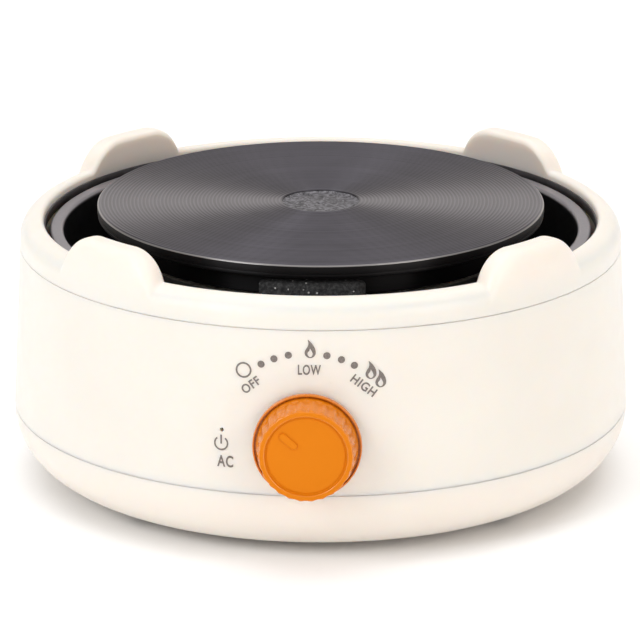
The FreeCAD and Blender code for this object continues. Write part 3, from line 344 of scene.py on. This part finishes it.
def plate_coating():
    """Turned cast iron with a black coating, whose gloss is drawn out round the centre.

    The face has faint turning lines, slight blotches and a paler crest between grooves. The outer corner is
    painted paler still, a painted highlight, and the side below it is painted near black, a painted shade.
    """
    shader = Shader("plate_coating", (0.10, 0.097, 0.103), 0.36, metallic=0.9, anisotropic=0.92,
                    anisotropic_rotation=0.25)
    tangent = shader.add("ShaderNodeTangent", direction_type="RADIAL", axis="Z")
    shader.link(tangent.outputs["Tangent"], shader.surface.inputs["Tangent"])
    parts = shader.parts_of_place()
    flat = shader.add("ShaderNodeCombineXYZ")
    shader.link(parts["X"], flat.inputs["X"])
    shader.link(parts["Y"], flat.inputs["Y"])
    length = shader.add("ShaderNodeVectorMath", operation="LENGTH")
    shader.link(flat.outputs["Vector"], length.inputs[0])
    radius = length.outputs["Value"]
    rings = shader.add("ShaderNodeTexNoise", noise_dimensions="1D")
    rings.inputs["Scale"].default_value = 1 / (1.1 * MM)
    rings.inputs["Detail"].default_value = 3
    shader.link(radius, rings.inputs["W"])
    blotch = shader.ramp(shader.noise(16, 4), 0, 1, (0.35, 0.65))
    base = mix_colors(shader, blotch, (0.094, 0.088, 0.103), (0.108, 0.101, 0.119))
    line = shader.ramp(rings.outputs["Fac"], 0, 0.25, (0.35, 0.7))
    lined = mix_colors(shader, line, base, (0.29, 0.27, 0.32))
    phase_per_metre = TURN / (GROOVE_PITCH * MM)
    first_phase = -TURN * GROOVE_START / GROOVE_PITCH
    phase = shader.compute("MULTIPLY_ADD", radius, phase_per_metre, first_phase)
    crest = shader.ramp(shader.compute("COSINE", phase), 0, 0.22, (0.1, 1.0))
    ridged = mix_colors(shader, crest, lined, (0.42, 0.40, 0.44))
    outside = shader.ramp(radius, 0, 1, (60 * MM, 61 * MM))
    # Painted shade: the side, and all of the plate this far below the face, is painted near black.
    side = shader.ramp(parts["Z"], 1, 0, ((PLATE_TOP - 0.75) * MM, (PLATE_TOP - 0.6) * MM))
    # Painted highlight: just under the face's edge, the band round the outer corner (past 61 mm) is painted
    # pale grey; further in it is near black.
    corner = shader.ramp(parts["Z"], 1, 0, ((PLATE_TOP - 0.3) * MM, (PLATE_TOP - 0.15) * MM))
    edge = mix_colors(shader, outside, (0.02, 0.02, 0.02), (0.36, 0.345, 0.34))
    corner_highlighted = mix_colors(shader, corner, ridged, edge)
    shader.link(mix_colors(shader, side, corner_highlighted, (0.020, 0.019, 0.020)), shader.surface.inputs["Base Color"])
    shader.link(shader.ramp(rings.outputs["Fac"], 0.27, 0.42), shader.surface.inputs["Roughness"])
    return shader.material


def plate_centre_casting():
    """The sunk centre as cast: pale strands that curl through a mid grey."""
    shader = Shader("plate_centre", (0.2, 0.195, 0.205), 0.55, metallic=0.6)
    strands = shader.noise(3.4, 5, 0.6, distortion=3.0)
    tinted(shader, (0.060, 0.058, 0.062), (0.27, 0.26, 0.28), shader.ramp(strands, 0, 1, (0.40, 0.60)))
    shader.bump(strands, 0.14, 0.7)
    shader.bump(shader.noise(0.7, 3), 0.03, 0.6)
    return shader.material


def speckled_refractory():
    """Dark rough refractory with scattered pale grains."""
    shader = Shader("refractory", (0.03, 0.03, 0.031), 0.85)
    grains = shader.add("ShaderNodeTexVoronoi", feature="F1")
    grains.inputs["Scale"].default_value = 1 / (2.4 * MM)
    shader.link(shader.place, grains.inputs["Vector"])
    specks = shader.ramp(grains.outputs["Distance"], 1, 0, (0.10, 0.17))
    dust = shader.ramp(shader.noise(1.1, 5, 0.7), 0, 1, (0.42, 0.68))
    body = mix_colors(shader, dust, (0.018, 0.018, 0.019), (0.085, 0.084, 0.085))
    shader.link(mix_colors(shader, specks, body, (0.62, 0.61, 0.60)), shader.surface.inputs["Base Color"])
    shader.bump(shader.noise(0.9, 5, 0.7), 0.35, 0.9)
    return shader.material


def lamp_glass():
    """Amber glass with an uneven gloss."""
    shader = Shader("lamp_glass", (0.95, 0.72, 0.52), 0.08, transmission_weight=1.0, ior=1.47)
    shader.link(shader.ramp(shader.noise(2), 0.05, 0.14), shader.surface.inputs["Roughness"])
    return shader.material


def print_ink():
    """Screen-printed warm grey ink, a little uneven."""
    shader = Shader("print_ink", (0.16, 0.135, 0.12), 0.45)
    uneven = shader.ramp(shader.noise(0.6, 3), 0, 1, (0.35, 0.65))
    tinted(shader, (0.135, 0.112, 0.10), (0.20, 0.172, 0.155), uneven)
    shader.bump(shader.noise(0.25, 2), 0.004, 0.4)
    return shader.material


LINER = liner_coating()
# Dark grey steel for the ring of painted shade at the foot of the rim's inner face.
PAINTED_SHADE_BAND = brushed_metal("painted_shade_band_steel", (0.22, 0.21, 0.22), (0.15, 0.145, 0.15), 0.42)
PLATE = plate_coating()
PLATE_CENTRE = plate_centre_casting()
REFRACTORY = speckled_refractory()
GLASS = lamp_glass()
INK = print_ink()

SLOT_MATERIALS = {
    "housing_plastic": CREAM, "foot_rubber": RUBBER, "cast_plate": PLATE, "liner_steel": LINER,
    "refractory": REFRACTORY, "fibre_pad": FIBRE, "sheet_steel": STEEL, "zinc_steel": ZINC,
    "element_sheath": SHEATH, "white_ceramic": CERAMIC, "brass": BRASS, "bimetal": BIMETAL,
    "knob_plastic": ORANGE, "black_plastic": BLACK, "block_plastic": NYLON, "lamp_glass": GLASS,
    "fuse_metal": FUSE, "lead_brown": BROWN, "lead_blue": BLUE, "lead_green": GREEN,
}


def finish_cad_nodes():
    """Every CAD node gets its slot's procedural material."""
    for part in frame["record"]["subparts"]:
        node = frame["nodes"][part["node"]]
        for place in node.material_slots:
            place.material = SLOT_MATERIALS[part["material_slot"]]


# ---------------------------------------------------------------- rim with ears

EAR_TOP = RING_HIGH.z
EAR_TURN = math.radians(47.3)  # from the front to the middle of the first ear
EAR_FLAT = 8.3                 # half the length of an ear's flat top
EAR_SHOULDER = 14.0            # radius of an ear's shoulders
EAR_FOOT = 1.1                 # softness of an ear's foot on the crest
EAR_LEAN = 2.0                 # how far an ear leans inwards
RIM_HEIGHT = EAR_TOP - 9.7
RIM_INNER = 96.1
RIM_OUTER = 104.35
RIM_CREST = 97.9               # where the crest starts to round over outwards
RIM_ROUND = 1.6                # radius of the crest's inner corner
RIM_FALL = 6.9                 # from the crest to the foot of its outer round
SEAM_GAP = 0.12                # between the rim and the housing's top edge
SEAM_EDGE = 104.43             # the rim's radius at that seam
REBATE_RADIUS = 102.3          # inside this the rim's underside is stepped up
SKIRT_OUTER = 98.4
SKIRT_BEVEL = 0.3


def ear_rise(angle):
    """How far the crest stands above the rim at an angle: flat ears with round shoulders and a soft foot."""
    quarter = TURN / 4
    offset = (angle - EAR_TURN + quarter / 2) % quarter - quarter / 2
    along = max(0.0, abs(offset) * (RIM_INNER + RIM_OUTER) / 2 - EAR_FLAT)
    full = EAR_TOP - RIM_HEIGHT
    drop = EAR_SHOULDER - math.sqrt(max(0.0, EAR_SHOULDER ** 2 - min(along, EAR_SHOULDER) ** 2))
    over = max(0.0, along - EAR_SHOULDER)
    rise = full - drop - over
    return min(full, (rise + math.sqrt(rise * rise + EAR_FOOT * EAR_FOOT)) / 2)


def rim_section(rise):
    """The rim's closed section: up the inside, over the crest, down to the seam and back along the skirt.

    share is 0 at the plain rim and 1 at an ear's top, and the rounds grow a little with it.
    """
    share = rise / (EAR_TOP - RIM_HEIGHT)
    top = RIM_HEIGHT + rise
    inner_round = RIM_ROUND + 0.5 * share
    points = [Vector((RIM_INNER, RING_LOW.z + SKIRT_BEVEL)), Vector((RIM_INNER, RIM_HEIGHT - 8))]
    foot = Vector((RIM_INNER, RIM_HEIGHT - 4))
    head = Vector((RIM_INNER - EAR_LEAN * share, top - inner_round))
    points += [foot.lerp(head, k / 6) for k in range(7)]
    for k in range(1, 8):
        angle = math.pi / 2 * k / 8
        points.append(head + Vector((inner_round * (1 - math.cos(angle)), inner_round * math.sin(angle))))
    crest_in = head.x + inner_round
    crest_out = RIM_CREST - 0.9 * share
    points += [Vector((crest_in, top)), Vector(((crest_in + crest_out) / 2, top))]
    shoulder_low = RIM_HEIGHT - RIM_FALL
    power = 2 + 1.5 * share
    steps = 26
    for k in range(steps + 1):
        angle = math.pi / 2 * (1 - k / steps)
        points.append(Vector((crest_out + (RIM_OUTER - crest_out) * math.cos(angle) ** (2 / power),
                              shoulder_low + (top - shoulder_low) * math.sin(angle) ** (2 / power))))
    seam = HOUSING_HIGH.z + SEAM_GAP
    step = RIM_HEIGHT - 3
    low = RING_LOW.z
    back = [(SEAM_EDGE, seam + 0.5), (SEAM_EDGE - 0.03, seam + 0.15), (SEAM_EDGE - 0.23, seam),
            (REBATE_RADIUS, seam), (REBATE_RADIUS, step), (SKIRT_OUTER, step),
            (SKIRT_OUTER, low + SKIRT_BEVEL), (SKIRT_OUTER - SKIRT_BEVEL, low),
            (RIM_INNER + SKIRT_BEVEL, low)]
    return points + [Vector(place) for place in back]


def make_rim():
    """The rim, whose section changes round it as the ears rise and fall."""
    segments = 960
    columns = [rim_section(ear_rise(TURN * j / segments)) for j in range(segments)]
    verts = []
    for i in range(len(columns[0])):
        for j, column in enumerate(columns):
            angle = TURN * j / segments
            verts.append((column[i].x * math.sin(angle), -column[i].x * math.cos(angle), column[i].y))
    faces = wrap(len(columns[0]), segments, closed_rows=True)
    rim = new_piece("rim_moulding", verts, faces, CREAM, slot="housing_plastic", sharp=50)
    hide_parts("top_ring")


# ---------------------------------------------------------------- hot plate

PLATE_CORNER = 0.75            # how far in from the edge the flat face ends
DISC_DEPTH = 4.65              # from the face to the underside of the plate's disc
BODY_RADIUS = 70.0             # the under-body, and the well in it for the coil
WELL_RADIUS = 57.2
POCKET_DEPTH = 0.8             # room under the sunk centre, which is a piece of its own

# The plate's side, as (inset from the edge, depth below the face): the corner, a groove and the lower edge.
PLATE_SIDE = ((PLATE_CORNER, 0.0), (0.05, 0.55), (0.0, 2.9), (0.5, 2.95), (0.5, 3.35), (0.15, 3.4),
              (0.2, DISC_DEPTH))

# One groove, as (share of the pitch, share of the depth).
GROOVE_SHAPE = ((0.0, 0.0), (0.30, 0.55), (0.5, 1.0), (0.70, 0.55))


def make_plate():
    """The turned plate: fine grooves in its face, a bright corner, a grooved side and a plain under-body."""
    outline = [Vector((CENTRE_RADIUS, PLATE_TOP - CENTRE_DEPTH - POCKET_DEPTH)),
               Vector((CENTRE_RADIUS + 0.15, PLATE_TOP - 0.2)), Vector((CENTRE_RADIUS + 0.5, PLATE_TOP))]
    for k in range(GROOVE_COUNT):
        for share, depth in GROOVE_SHAPE:
            radius = GROOVE_START + (k + share) * GROOVE_PITCH
            outline.append(Vector((radius, PLATE_TOP - depth * GROOVE_DEPTH)))
    outline += [Vector((GROOVE_END, PLATE_TOP)), Vector((PLATE_RADIUS - PLATE_CORNER, PLATE_TOP))]
    disc_low, body_low, well_top = PLATE_TOP - DISC_DEPTH, PLATE_LOW.z + 4, PLATE_LOW.z + 10
    side = [(PLATE_RADIUS - inset, PLATE_TOP - depth) for inset, depth in PLATE_SIDE]
    side += [(BODY_RADIUS, disc_low), (BODY_RADIUS, body_low)]
    side += [(WELL_RADIUS, body_low), (WELL_RADIUS, well_top)]
    outline += rounded(side, {1: 0.25, 2: 0.05, 5: 0.12, 6: 0.5, 8: 0.6})[1:]
    plate = lathe("plate_casting", outline[::-1], PLATE, 384, slot="cast_plate", sharp=40)
    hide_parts("hot_plate")
    make_plate_centre()


def make_plate_centre():
    """The sunk disc: a slightly uneven cast surface that curls up at its edge, with a small centre mark."""
    rings, segments = 40, 128
    mark_depth, mark_radius = 0.7, 0.7
    verts = [(0, 0, PLATE_TOP - CENTRE_DEPTH - mark_depth)]
    for i in range(1, rings + 1):
        radius = (CENTRE_RADIUS + 0.05) * i / rings
        for j in range(segments):
            angle = TURN * j / segments
            x, y = radius * math.sin(angle), -radius * math.cos(angle)
            uneven = 0.02 * (math.sin(0.9 * x + 0.5 * y) + math.sin(0.7 * y - 0.6 * x + 1))
            mark = -mark_depth * math.exp(-(radius / mark_radius) ** 2)
            curl = 0.55 * max(0.0, (radius / CENTRE_RADIUS - 0.9) / 0.1) ** 2
            verts.append((x, y, PLATE_TOP - CENTRE_DEPTH + uneven + mark + curl))
    faces = [(0, 1 + (j + 1) % segments, 1 + j)[::-1] for j in range(segments)]
    for i in range(rings - 1):
        low, high = 1 + i * segments, 1 + (i + 1) * segments
        for j in range(segments):
            k = (j + 1) % segments
            faces.append((low + j, high + j, high + k, low + k)[::-1])
    new_piece("plate_centre", verts, faces, PLATE_CENTRE, slot="cast_plate")


# ---------------------------------------------------------------- band of painted shade, and the lower seam

def make_painted_shade_band():
    """A dark band against the foot of the rim's inner face: painted shade, a dark steel ring that stands for
    the shadow above the dish's lip.
    """
    inner, outer = 95.6, 96.08
    low, high = LINER_HIGH.z - 2.0, RIM_HEIGHT - 2.7
    section = [(inner, low), (outer, low), (outer, high), (inner, high), (inner, low + 0.1)]
    outline = rounded(section, {3: 0.2})
    lathe("painted_shade_band", outline, PAINTED_SHADE_BAND, 384, closed=True, slot="liner_steel", sharp=50)


def make_seam_rib():
    """The rib in the lower seam, a little below the wall's surface, which the two shells close on."""
    outer, inner, gap = BASE_HIGH.x - 0.22, BASE_HIGH.x - 1.6, 0.04
    low, high = BASE_SEAM + gap, WALL_FOOT.y - gap
    outline = [(inner, low), (outer, low), (outer, high), (inner, high)]
    lathe("seam_rib", outline, CREAM, 384, closed=True, slot="housing_plastic", sharp=40)


# ---------------------------------------------------------------- knob

FLUTES = 26
FLUTE_DEPTH = 0.5
POINTER_TURN = math.radians(49)
KNOB_SPACE = Matrix.Translation((0, 0, KNOB_AXIS)) @ Matrix.Rotation(math.pi / 2, 4, "X")


def make_knob():
    """The knob: a flange with a groove above it, shallow flutes, a rolled rim, a sunk face, a hollow back."""
    flange, body, face, recess = 18.1, 16.9, 15.5, 13.4
    floor = KNOB_FACE - 0.8
    flange_top, groove_floor = KNOB_BACK + 2.2, KNOB_BACK + 0.8
    profile = rounded([
        (14.2, floor - 2.2), (14.9, KNOB_BACK), (flange, KNOB_BACK), (flange, flange_top),
        (flange - 0.55, flange_top), (flange - 0.65, groove_floor), (body, groove_floor),
        (body, KNOB_BACK + 2.5), (face + 0.15, KNOB_FACE), (recess + 0.35, KNOB_FACE),
        (recess, floor - 0.35), (recess - 0.7, floor), (0, floor)],
        {1: 0.3, 2: 0.5, 3: 0.3, 4: 0.15, 8: 0.6, 9: 0.4, 10: 0.25, 11: 0.3}, 8)

    # The side and the floor of the face are divided, so that the flutes and the shading have points to use.
    side_steps, floor_steps = 14, 12
    outline = []
    for here, ahead in zip(profile, profile[1:]):
        outline.append(here)
        if here.x > face - 0.5 and ahead.y - here.y > 3:
            outline += [here.lerp(ahead, k / side_steps) for k in range(1, side_steps)]
        if ahead.x < 1e-6:
            outline += [Vector((here.x * (1 - k / floor_steps), floor)) for k in range(1, floor_steps)]
    outline.append(Vector((1e-7, floor)))
    flutes_low = KNOB_BACK + 2.7

    def fluted(i, angle, radius):
        """The radius with the flutes cut in, which fade out at both ends of the side."""
        height = outline[i].y
        if radius < face - 1.2 or not flutes_low <= height <= KNOB_FACE:
            return radius
        fade = min(1.0, (height - flutes_low) / 0.8) * min(1.0, (KNOB_FACE + 0.1 - height) / 0.6)
        wave = 0.5 + 0.5 * math.cos(FLUTES * angle)
        return radius - FLUTE_DEPTH * wave * fade

    knob = lathe("knob_moulding", outline, ORANGE, FLUTES * 20, to_world=KNOB_SPACE, shape=fluted,
                 body="control", slot="knob_plastic", sharp=60)
    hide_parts("knob")
    knob.data.materials.append(ORANGE_FACE)
    knob.data.materials.append(ORANGE_EDGE_HIGHLIGHT)
    to_knob = KNOB_SPACE.inverted()
    for polygon in knob.data.polygons:
        spot = to_knob @ (polygon.center / MM)
        radius = math.hypot(spot.x, spot.y)
        if spot.z > floor - 0.5 and radius < face + 0.4:
            # The rounded edges of the rolled rim take the paler glossy copy, a painted highlight; the rest of
            # the face takes the plain one.
            on_edge = KNOB_FACE - 0.45 < spot.z < KNOB_FACE - 0.01
            polygon.material_index = 2 if on_edge else 1
    make_pointer(floor)


def make_pointer(floor):
    """The raised pointer: a long pad with round ends and soft edges.

    Each loop up its side is given as (inset from its outline, height above the knob's floor).
    """
    inner, outer, half, height = 4.0, 11.3, 1.25, 0.72
    centre_low, centre_high = inner + half, outer - half
    loops = [(0.0, -0.15), (0.0, height - 0.4), (0.12, height - 0.15), (0.38, height - 0.02), (0.75, height)]
    steps = 24
    verts = []
    for inset, lift in loops:
        radius = half - inset
        for k in range(2 * steps):
            low_end = k >= steps
            angle = math.pi * (k % steps) / (steps - 1) + (math.pi if low_end else 0)
            middle = centre_low if low_end else centre_high
            verts.append(Vector((radius * math.cos(angle), middle + radius * math.sin(angle), floor + lift)))
    count = 2 * steps
    faces = wrap(len(loops), count)
    faces.append(tuple((len(loops) - 1) * count + k for k in range(count)))
    turn = KNOB_SPACE @ Matrix.Rotation(POINTER_TURN, 4, "Z")
    new_piece("knob_pointer", [turn @ v for v in verts], faces, ORANGE_FACE, body="control",
              slot="knob_plastic", sharp=70)


# ---------------------------------------------------------------- refractory block

def make_terminal_head():
    """The rough block under the front of the plate: a rounded box whose faces are lumpy."""
    half = HEAD_HIGH.x
    inner, outer = -HEAD_HIGH.y + 1.0, -HEAD_LOW.y
    middle = (HEAD_LOW.z + HEAD_HIGH.z) / 2
    half_height = (HEAD_HIGH.z - HEAD_LOW.z) / 2
    across, up, deep = 60, 18, 12
    verts, index = [], {}

    def lump(a, b, c):
        """A smooth uneven value at a place."""
        waves = (a * 1.9 + b * 2.3, b * 3.1 - c * 2.2 + 1, c * 2.7 + a * 3.7 + 2)
        return sum(math.sin(wave) for wave in waves) / 3

    def point(i, j, k):
        """The number of the vertex at a place of the block's grid, which is made on first use."""
        if (i, j, k) not in index:
            u, v, w = i / across * 2 - 1, j / up * 2 - 1, k / deep * 2 - 1
            edge = [1 - 0.10 * (max(0, abs(p) - 0.6) / 0.4) ** 2 * (max(0, abs(q) - 0.6) / 0.4) ** 2
                    for p, q in ((u, v), (v, w), (u, w))]
            spread = edge[0] * edge[2]
            x = u * (half - 0.6) * spread
            z = middle + v * (half_height - 0.5) * edge[0] * edge[1]
            radius = (inner + outer) / 2 + w * ((outer - inner) / 2 - 0.5) * edge[1]
            bulge = 0.32 * lump(x, z, radius)
            y = -math.sqrt(max(1.0, (radius + bulge) ** 2 - x * x))
            index[(i, j, k)] = len(verts)
            verts.append((x, y, z + bulge * 0.5))
        return index[(i, j, k)]

    faces = []
    sizes = (across, up, deep)
    for fixed in range(3):
        first, second = [axis for axis in range(3) if axis != fixed]
        for side in (0, sizes[fixed]):
            for a in range(sizes[first]):
                for b in range(sizes[second]):
                    loop = []
                    for da, db in ((0, 0), (1, 0), (1, 1), (0, 1)):
                        key = [0, 0, 0]
                        key[fixed], key[first], key[second] = side, a + da, b + db
                        loop.append(point(*key))
                    outward = (side > 0) != (fixed == 1)
                    faces.append(tuple(loop if outward else loop[::-1]))
    head = new_piece("refractory_block", verts, faces, REFRACTORY, slot="refractory")
    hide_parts("terminal_head")


# ---------------------------------------------------------------- print on the housing

INK_LIFT = 0.03


def wall_radius(height):
    """The housing's outer radius at a height."""
    share = (height - WALL_FOOT.y) / (WALL_HEAD.y - WALL_FOOT.y)
    return WALL_FOOT.x + (WALL_HEAD.x - WALL_FOOT.x) * share


def on_wall(across, up):
    """A place just above the wall, from the distance round it and above the knob's axis."""
    height = KNOB_AXIS + up
    radius = wall_radius(height)
    angle = across / radius
    return (radius + INK_LIFT) * math.sin(angle), -(radius + INK_LIFT) * math.cos(angle), height


def print_mark(name, shape, centre, turn=0.0):
    """Lays a flat shape of (across, up) in millimetres on the wall, turned about its own centre."""
    verts, faces = shape
    spin = Matrix.Rotation(-turn, 2)
    placed = [spin @ Vector(v) + Vector(centre) for v in verts]
    return new_piece(name, [on_wall(*p) for p in placed], faces, INK)


def flat_mesh(curve):
    """The filled mesh of a curve or text, as flat points and faces that all face the same way."""
    made = bpy.data.objects.new("flat", curve)
    bpy.context.scene.collection.objects.link(made)
    bpy.context.view_layer.update()
    mesh = bpy.data.meshes.new_from_object(made.evaluated_get(bpy.context.evaluated_depsgraph_get()))
    verts = [(v.co.x, v.co.y) for v in mesh.vertices]
    faces = []
    for polygon in mesh.polygons:
        loop = list(polygon.vertices)
        sides = zip(loop, loop[1:] + loop[:1])
        area = sum(verts[a][0] * verts[b][1] - verts[b][0] * verts[a][1] for a, b in sides)
        faces.append(loop if area > 0 else loop[::-1])
    bpy.data.objects.remove(made)
    bpy.data.meshes.remove(mesh)
    return verts, faces


def word(text, width, height):
    """A word in Blender's own font, slightly bold and spaced, fitted to a width and height and centred."""
    curve = bpy.data.curves.new("word", "FONT")
    curve.body = text
    curve.space_character = 1.12
    curve.offset = 0.022
    verts, faces = flat_mesh(curve)
    low = [min(v[k] for v in verts) for k in (0, 1)]
    high = [max(v[k] for v in verts) for k in (0, 1)]
    fit = (width / (high[0] - low[0]), height / (high[1] - low[1]))
    middle = [(a + b) / 2 for a, b in zip(low, high)]
    return [tuple((v[k] - middle[k]) * fit[k] for k in (0, 1)) for v in verts], faces


def filled(outlines):
    """A flat shape bounded by smooth closed outlines, each with the numbers of its sharp points.

    An outline inside another is a hole.
    """
    curve = bpy.data.curves.new("shape", "CURVE")
    curve.dimensions = "2D"
    curve.fill_mode = "BOTH"
    for points, sharp in outlines:
        spline = curve.splines.new("BEZIER")
        spline.bezier_points.add(len(points) - 1)
        spline.use_cyclic_u = True
        spline.resolution_u = 8
        for k, (point, made) in enumerate(zip(points, spline.bezier_points)):
            made.co = (*point, 0)
            kind = "VECTOR" if k in sharp else "AUTO"
            made.handle_left_type = made.handle_right_type = kind
    return flat_mesh(curve)


def ring_shape(outer, inner, gap=0.0):
    """A flat ring, open for a gap of some radians about its top."""
    steps = 40
    verts, faces = [], []
    for k in range(steps + 1):
        angle = gap / 2 + (TURN - gap) * k / steps
        for radius in (inner, outer):
            verts.append((radius * math.sin(angle), radius * math.cos(angle)))
    for k in range(steps):
        a = 2 * k
        faces.append((a, a + 1, a + 3, a + 2)[::-1])
    return verts, faces


def disc_shape(radius):
    """A flat round disc."""
    steps = 28
    angles = [TURN * k / steps for k in range(steps)]
    return [(radius * math.cos(angle), radius * math.sin(angle)) for angle in angles], [tuple(range(steps))]


def bar_shape(half_width, low, high):
    """A flat upright bar."""
    return [(-half_width, low), (half_width, low), (half_width, high), (-half_width, high)], [(0, 1, 2, 3)]


# A flame about 6 mm high and the hole in it, each from its tip.
FLAME_OUTLINE = [(-0.9, 3.3), (0.75, 1.6), (1.75, -0.6), (1.55, -2.2), (0.3, -3.1), (-1.1, -2.8),
                 (-1.9, -1.5), (-1.45, 0.0), (-0.95, 0.75), (-0.65, 1.7)]
FLAME_HOLE = [(-0.15, 0.25), (0.55, -0.95), (0.75, -1.95), (0.05, -2.75), (-0.75, -2.3), (-0.95, -1.4),
              (-0.35, -0.6)]
FLAME_SCALE = 0.98


def flame_shape():
    """A flame with a hole, both with one sharp point, at the tip."""
    scaled = [[(x * FLAME_SCALE, y * FLAME_SCALE) for x, y in line] for line in (FLAME_OUTLINE, FLAME_HOLE)]
    return filled([(line, (0,)) for line in scaled])


def polar_place(radius, degrees):
    """A place on the dial, from its radius about the knob and its angle from the top."""
    return radius * math.sin(math.radians(degrees)), radius * math.cos(math.radians(degrees))


# The dots and the two slanted words of the scale, round the knob's axis, and the place of the indicator lamp.
DOT_DEGREES = (-29.8, -21.0, -11.8, 11.8, 21.0, 29.8)
DOT_CIRCLE = 31.0
DOT_RADIUS = 1.2
WORD_CIRCLE = 27.2
WORD_TURN = math.radians(38)
LAMP_TURN = math.radians(-15.6)
LAMP_HEIGHT = 47.2


def make_dial():
    """The scale round the knob and the label of the indicator."""
    for number, degrees in enumerate(DOT_DEGREES):
        print_mark(f"dial_dot_{number + 1}", disc_shape(DOT_RADIUS), polar_place(DOT_CIRCLE, degrees))
    print_mark("dial_flame_low", flame_shape(), (0.9, 32.6))
    print_mark("dial_flame_high_1", flame_shape(), polar_place(32.7, 39.9))
    print_mark("dial_flame_high_2", flame_shape(), polar_place(32.8, 47.7))
    print_mark("dial_word_low", word("LOW", 7.6, 3.5), (0.6, 25.5))
    print_mark("dial_word_off", word("OFF", 7.0, 3.1), polar_place(WORD_CIRCLE, -44), -WORD_TURN)
    print_mark("dial_word_high", word("HIGH", 9.6, 3.1), polar_place(WORD_CIRCLE, 43), WORD_TURN)
    print_mark("dial_off_ring", ring_shape(2.7, 2.1), polar_place(32.5, -41))
    across = LAMP_TURN * wall_radius(LAMP_HEIGHT)
    label = (across - 0.2, -1.2)
    print_mark("power_ring", ring_shape(2.5, 1.95, gap=1.3), label)
    print_mark("power_bar", bar_shape(0.28, -0.2, 2.9), label)
    print_mark("power_word_ac", word("AC", 5.6, 4.0), (across + 1.2, -7.3))


# ---------------------------------------------------------------- stage, camera and lights

# The surround's brightness at each height, which is given as the sine of its elevation, and its tint.
SURROUND = ((0.0, 0.84), (0.34, 0.84), (0.42, 0.34), (0.52, 0.13), (1.0, 0.10))
SURROUND_TINT = (1.0, 0.955, 0.905)


def make_stage():
    """A pale floor under a surround that is bright near the horizon and dim overhead, as in a studio."""
    reach = 6.0
    corners = [(-reach, -reach, 0), (reach, -reach, 0), (reach, reach, 0), (-reach, reach, 0)]
    floor_mesh = bpy.data.meshes.new("floor")
    floor_mesh.from_pydata(corners, [], [(0, 1, 2, 3)])
    floor = bpy.data.objects.new("floor", floor_mesh)
    bpy.context.scene.collection.objects.link(floor)
    floor_mesh.materials.append(Shader("pale_floor", (0.98, 0.98, 0.98), 0.8).material)
    world = bpy.data.worlds.new("surround")
    bpy.context.scene.world = world
    world.use_nodes = True
    nodes, links = world.node_tree.nodes, world.node_tree.links
    direction = nodes.new("ShaderNodeTexCoord").outputs["Generated"]
    split = nodes.new("ShaderNodeSeparateXYZ")
    links.new(direction, split.inputs["Vector"])
    ramp = nodes.new("ShaderNodeValToRGB")
    links.new(split.outputs["Z"], ramp.inputs["Fac"])
    stops = ramp.color_ramp.elements
    for height, level in SURROUND:
        stop = stops.new(height)
        stop.color = (*(level * part for part in SURROUND_TINT), 1)
    stops.remove(stops[0])
    stops.remove(stops[-1])
    links.new(ramp.outputs["Color"], nodes["Background"].inputs["Color"])


def make_light(name, place, target, size, watts, color=(1, 1, 1), mirrored=True):
    """A soft box; one that isn't mirrored lights surfaces but leaves no reflection of itself."""
    light = bpy.data.lights.new(name, "AREA")
    light.shape = "RECTANGLE"
    light.size, light.size_y = size
    light.energy = watts
    light.color = color
    lamp = bpy.data.objects.new(name, light)
    lamp.location = place
    lamp.rotation_euler = (Vector(target) - Vector(place)).to_track_quat("-Z", "Y").to_euler()
    lamp.visible_glossy = mirrored
    bpy.context.scene.collection.objects.link(lamp)


def make_camera():
    """Placed by its distance from the middle of the plate's face, and aimed below that, at the whole body."""
    turn, tilt, distance = math.radians(2.35), math.radians(16.18), 1.7
    drop, shift = 0.04156, 0.00024
    middle = Vector((0, 0, PLATE_TOP * MM))
    back = Vector((math.sin(turn) * math.cos(tilt), -math.cos(turn) * math.cos(tilt), math.sin(tilt)))
    right = Vector((math.cos(turn), math.sin(turn), 0))
    up = back.cross(right)
    aim = middle - up * drop - right * shift
    camera = bpy.data.objects.new("camera", bpy.data.cameras.new("camera"))
    camera.location = middle + back * distance
    camera.rotation_euler = (aim - camera.location).to_track_quat("-Z", "Y").to_euler()
    camera.data.lens = 275.4
    camera.data.sensor_width = 36.0
    camera.data.clip_end = 50
    bpy.context.scene.collection.objects.link(camera)
    bpy.context.scene.camera = camera


make_camera()
make_stage()
make_light("key", (-1.0, -1.1, 0.9), (0, 0, 0.05), (0.7, 0.7), 10, (0.95, 0.98, 1.0))
make_light("fill", (1.2, -1.2, 0.75), (0, 0, 0.05), (0.9, 0.9), 8, (1.0, 0.97, 0.93))
make_light("top", (0.0, 0.6, 2.2), (0, 0.3, 0), (3.0, 3.0), 41, mirrored=False)
bpy.context.scene.view_settings.view_transform = "Standard"

finish_cad_nodes()
make_rim()
make_plate()
make_knob()
make_terminal_head()
make_painted_shade_band()
make_seam_rib()
make_dial()
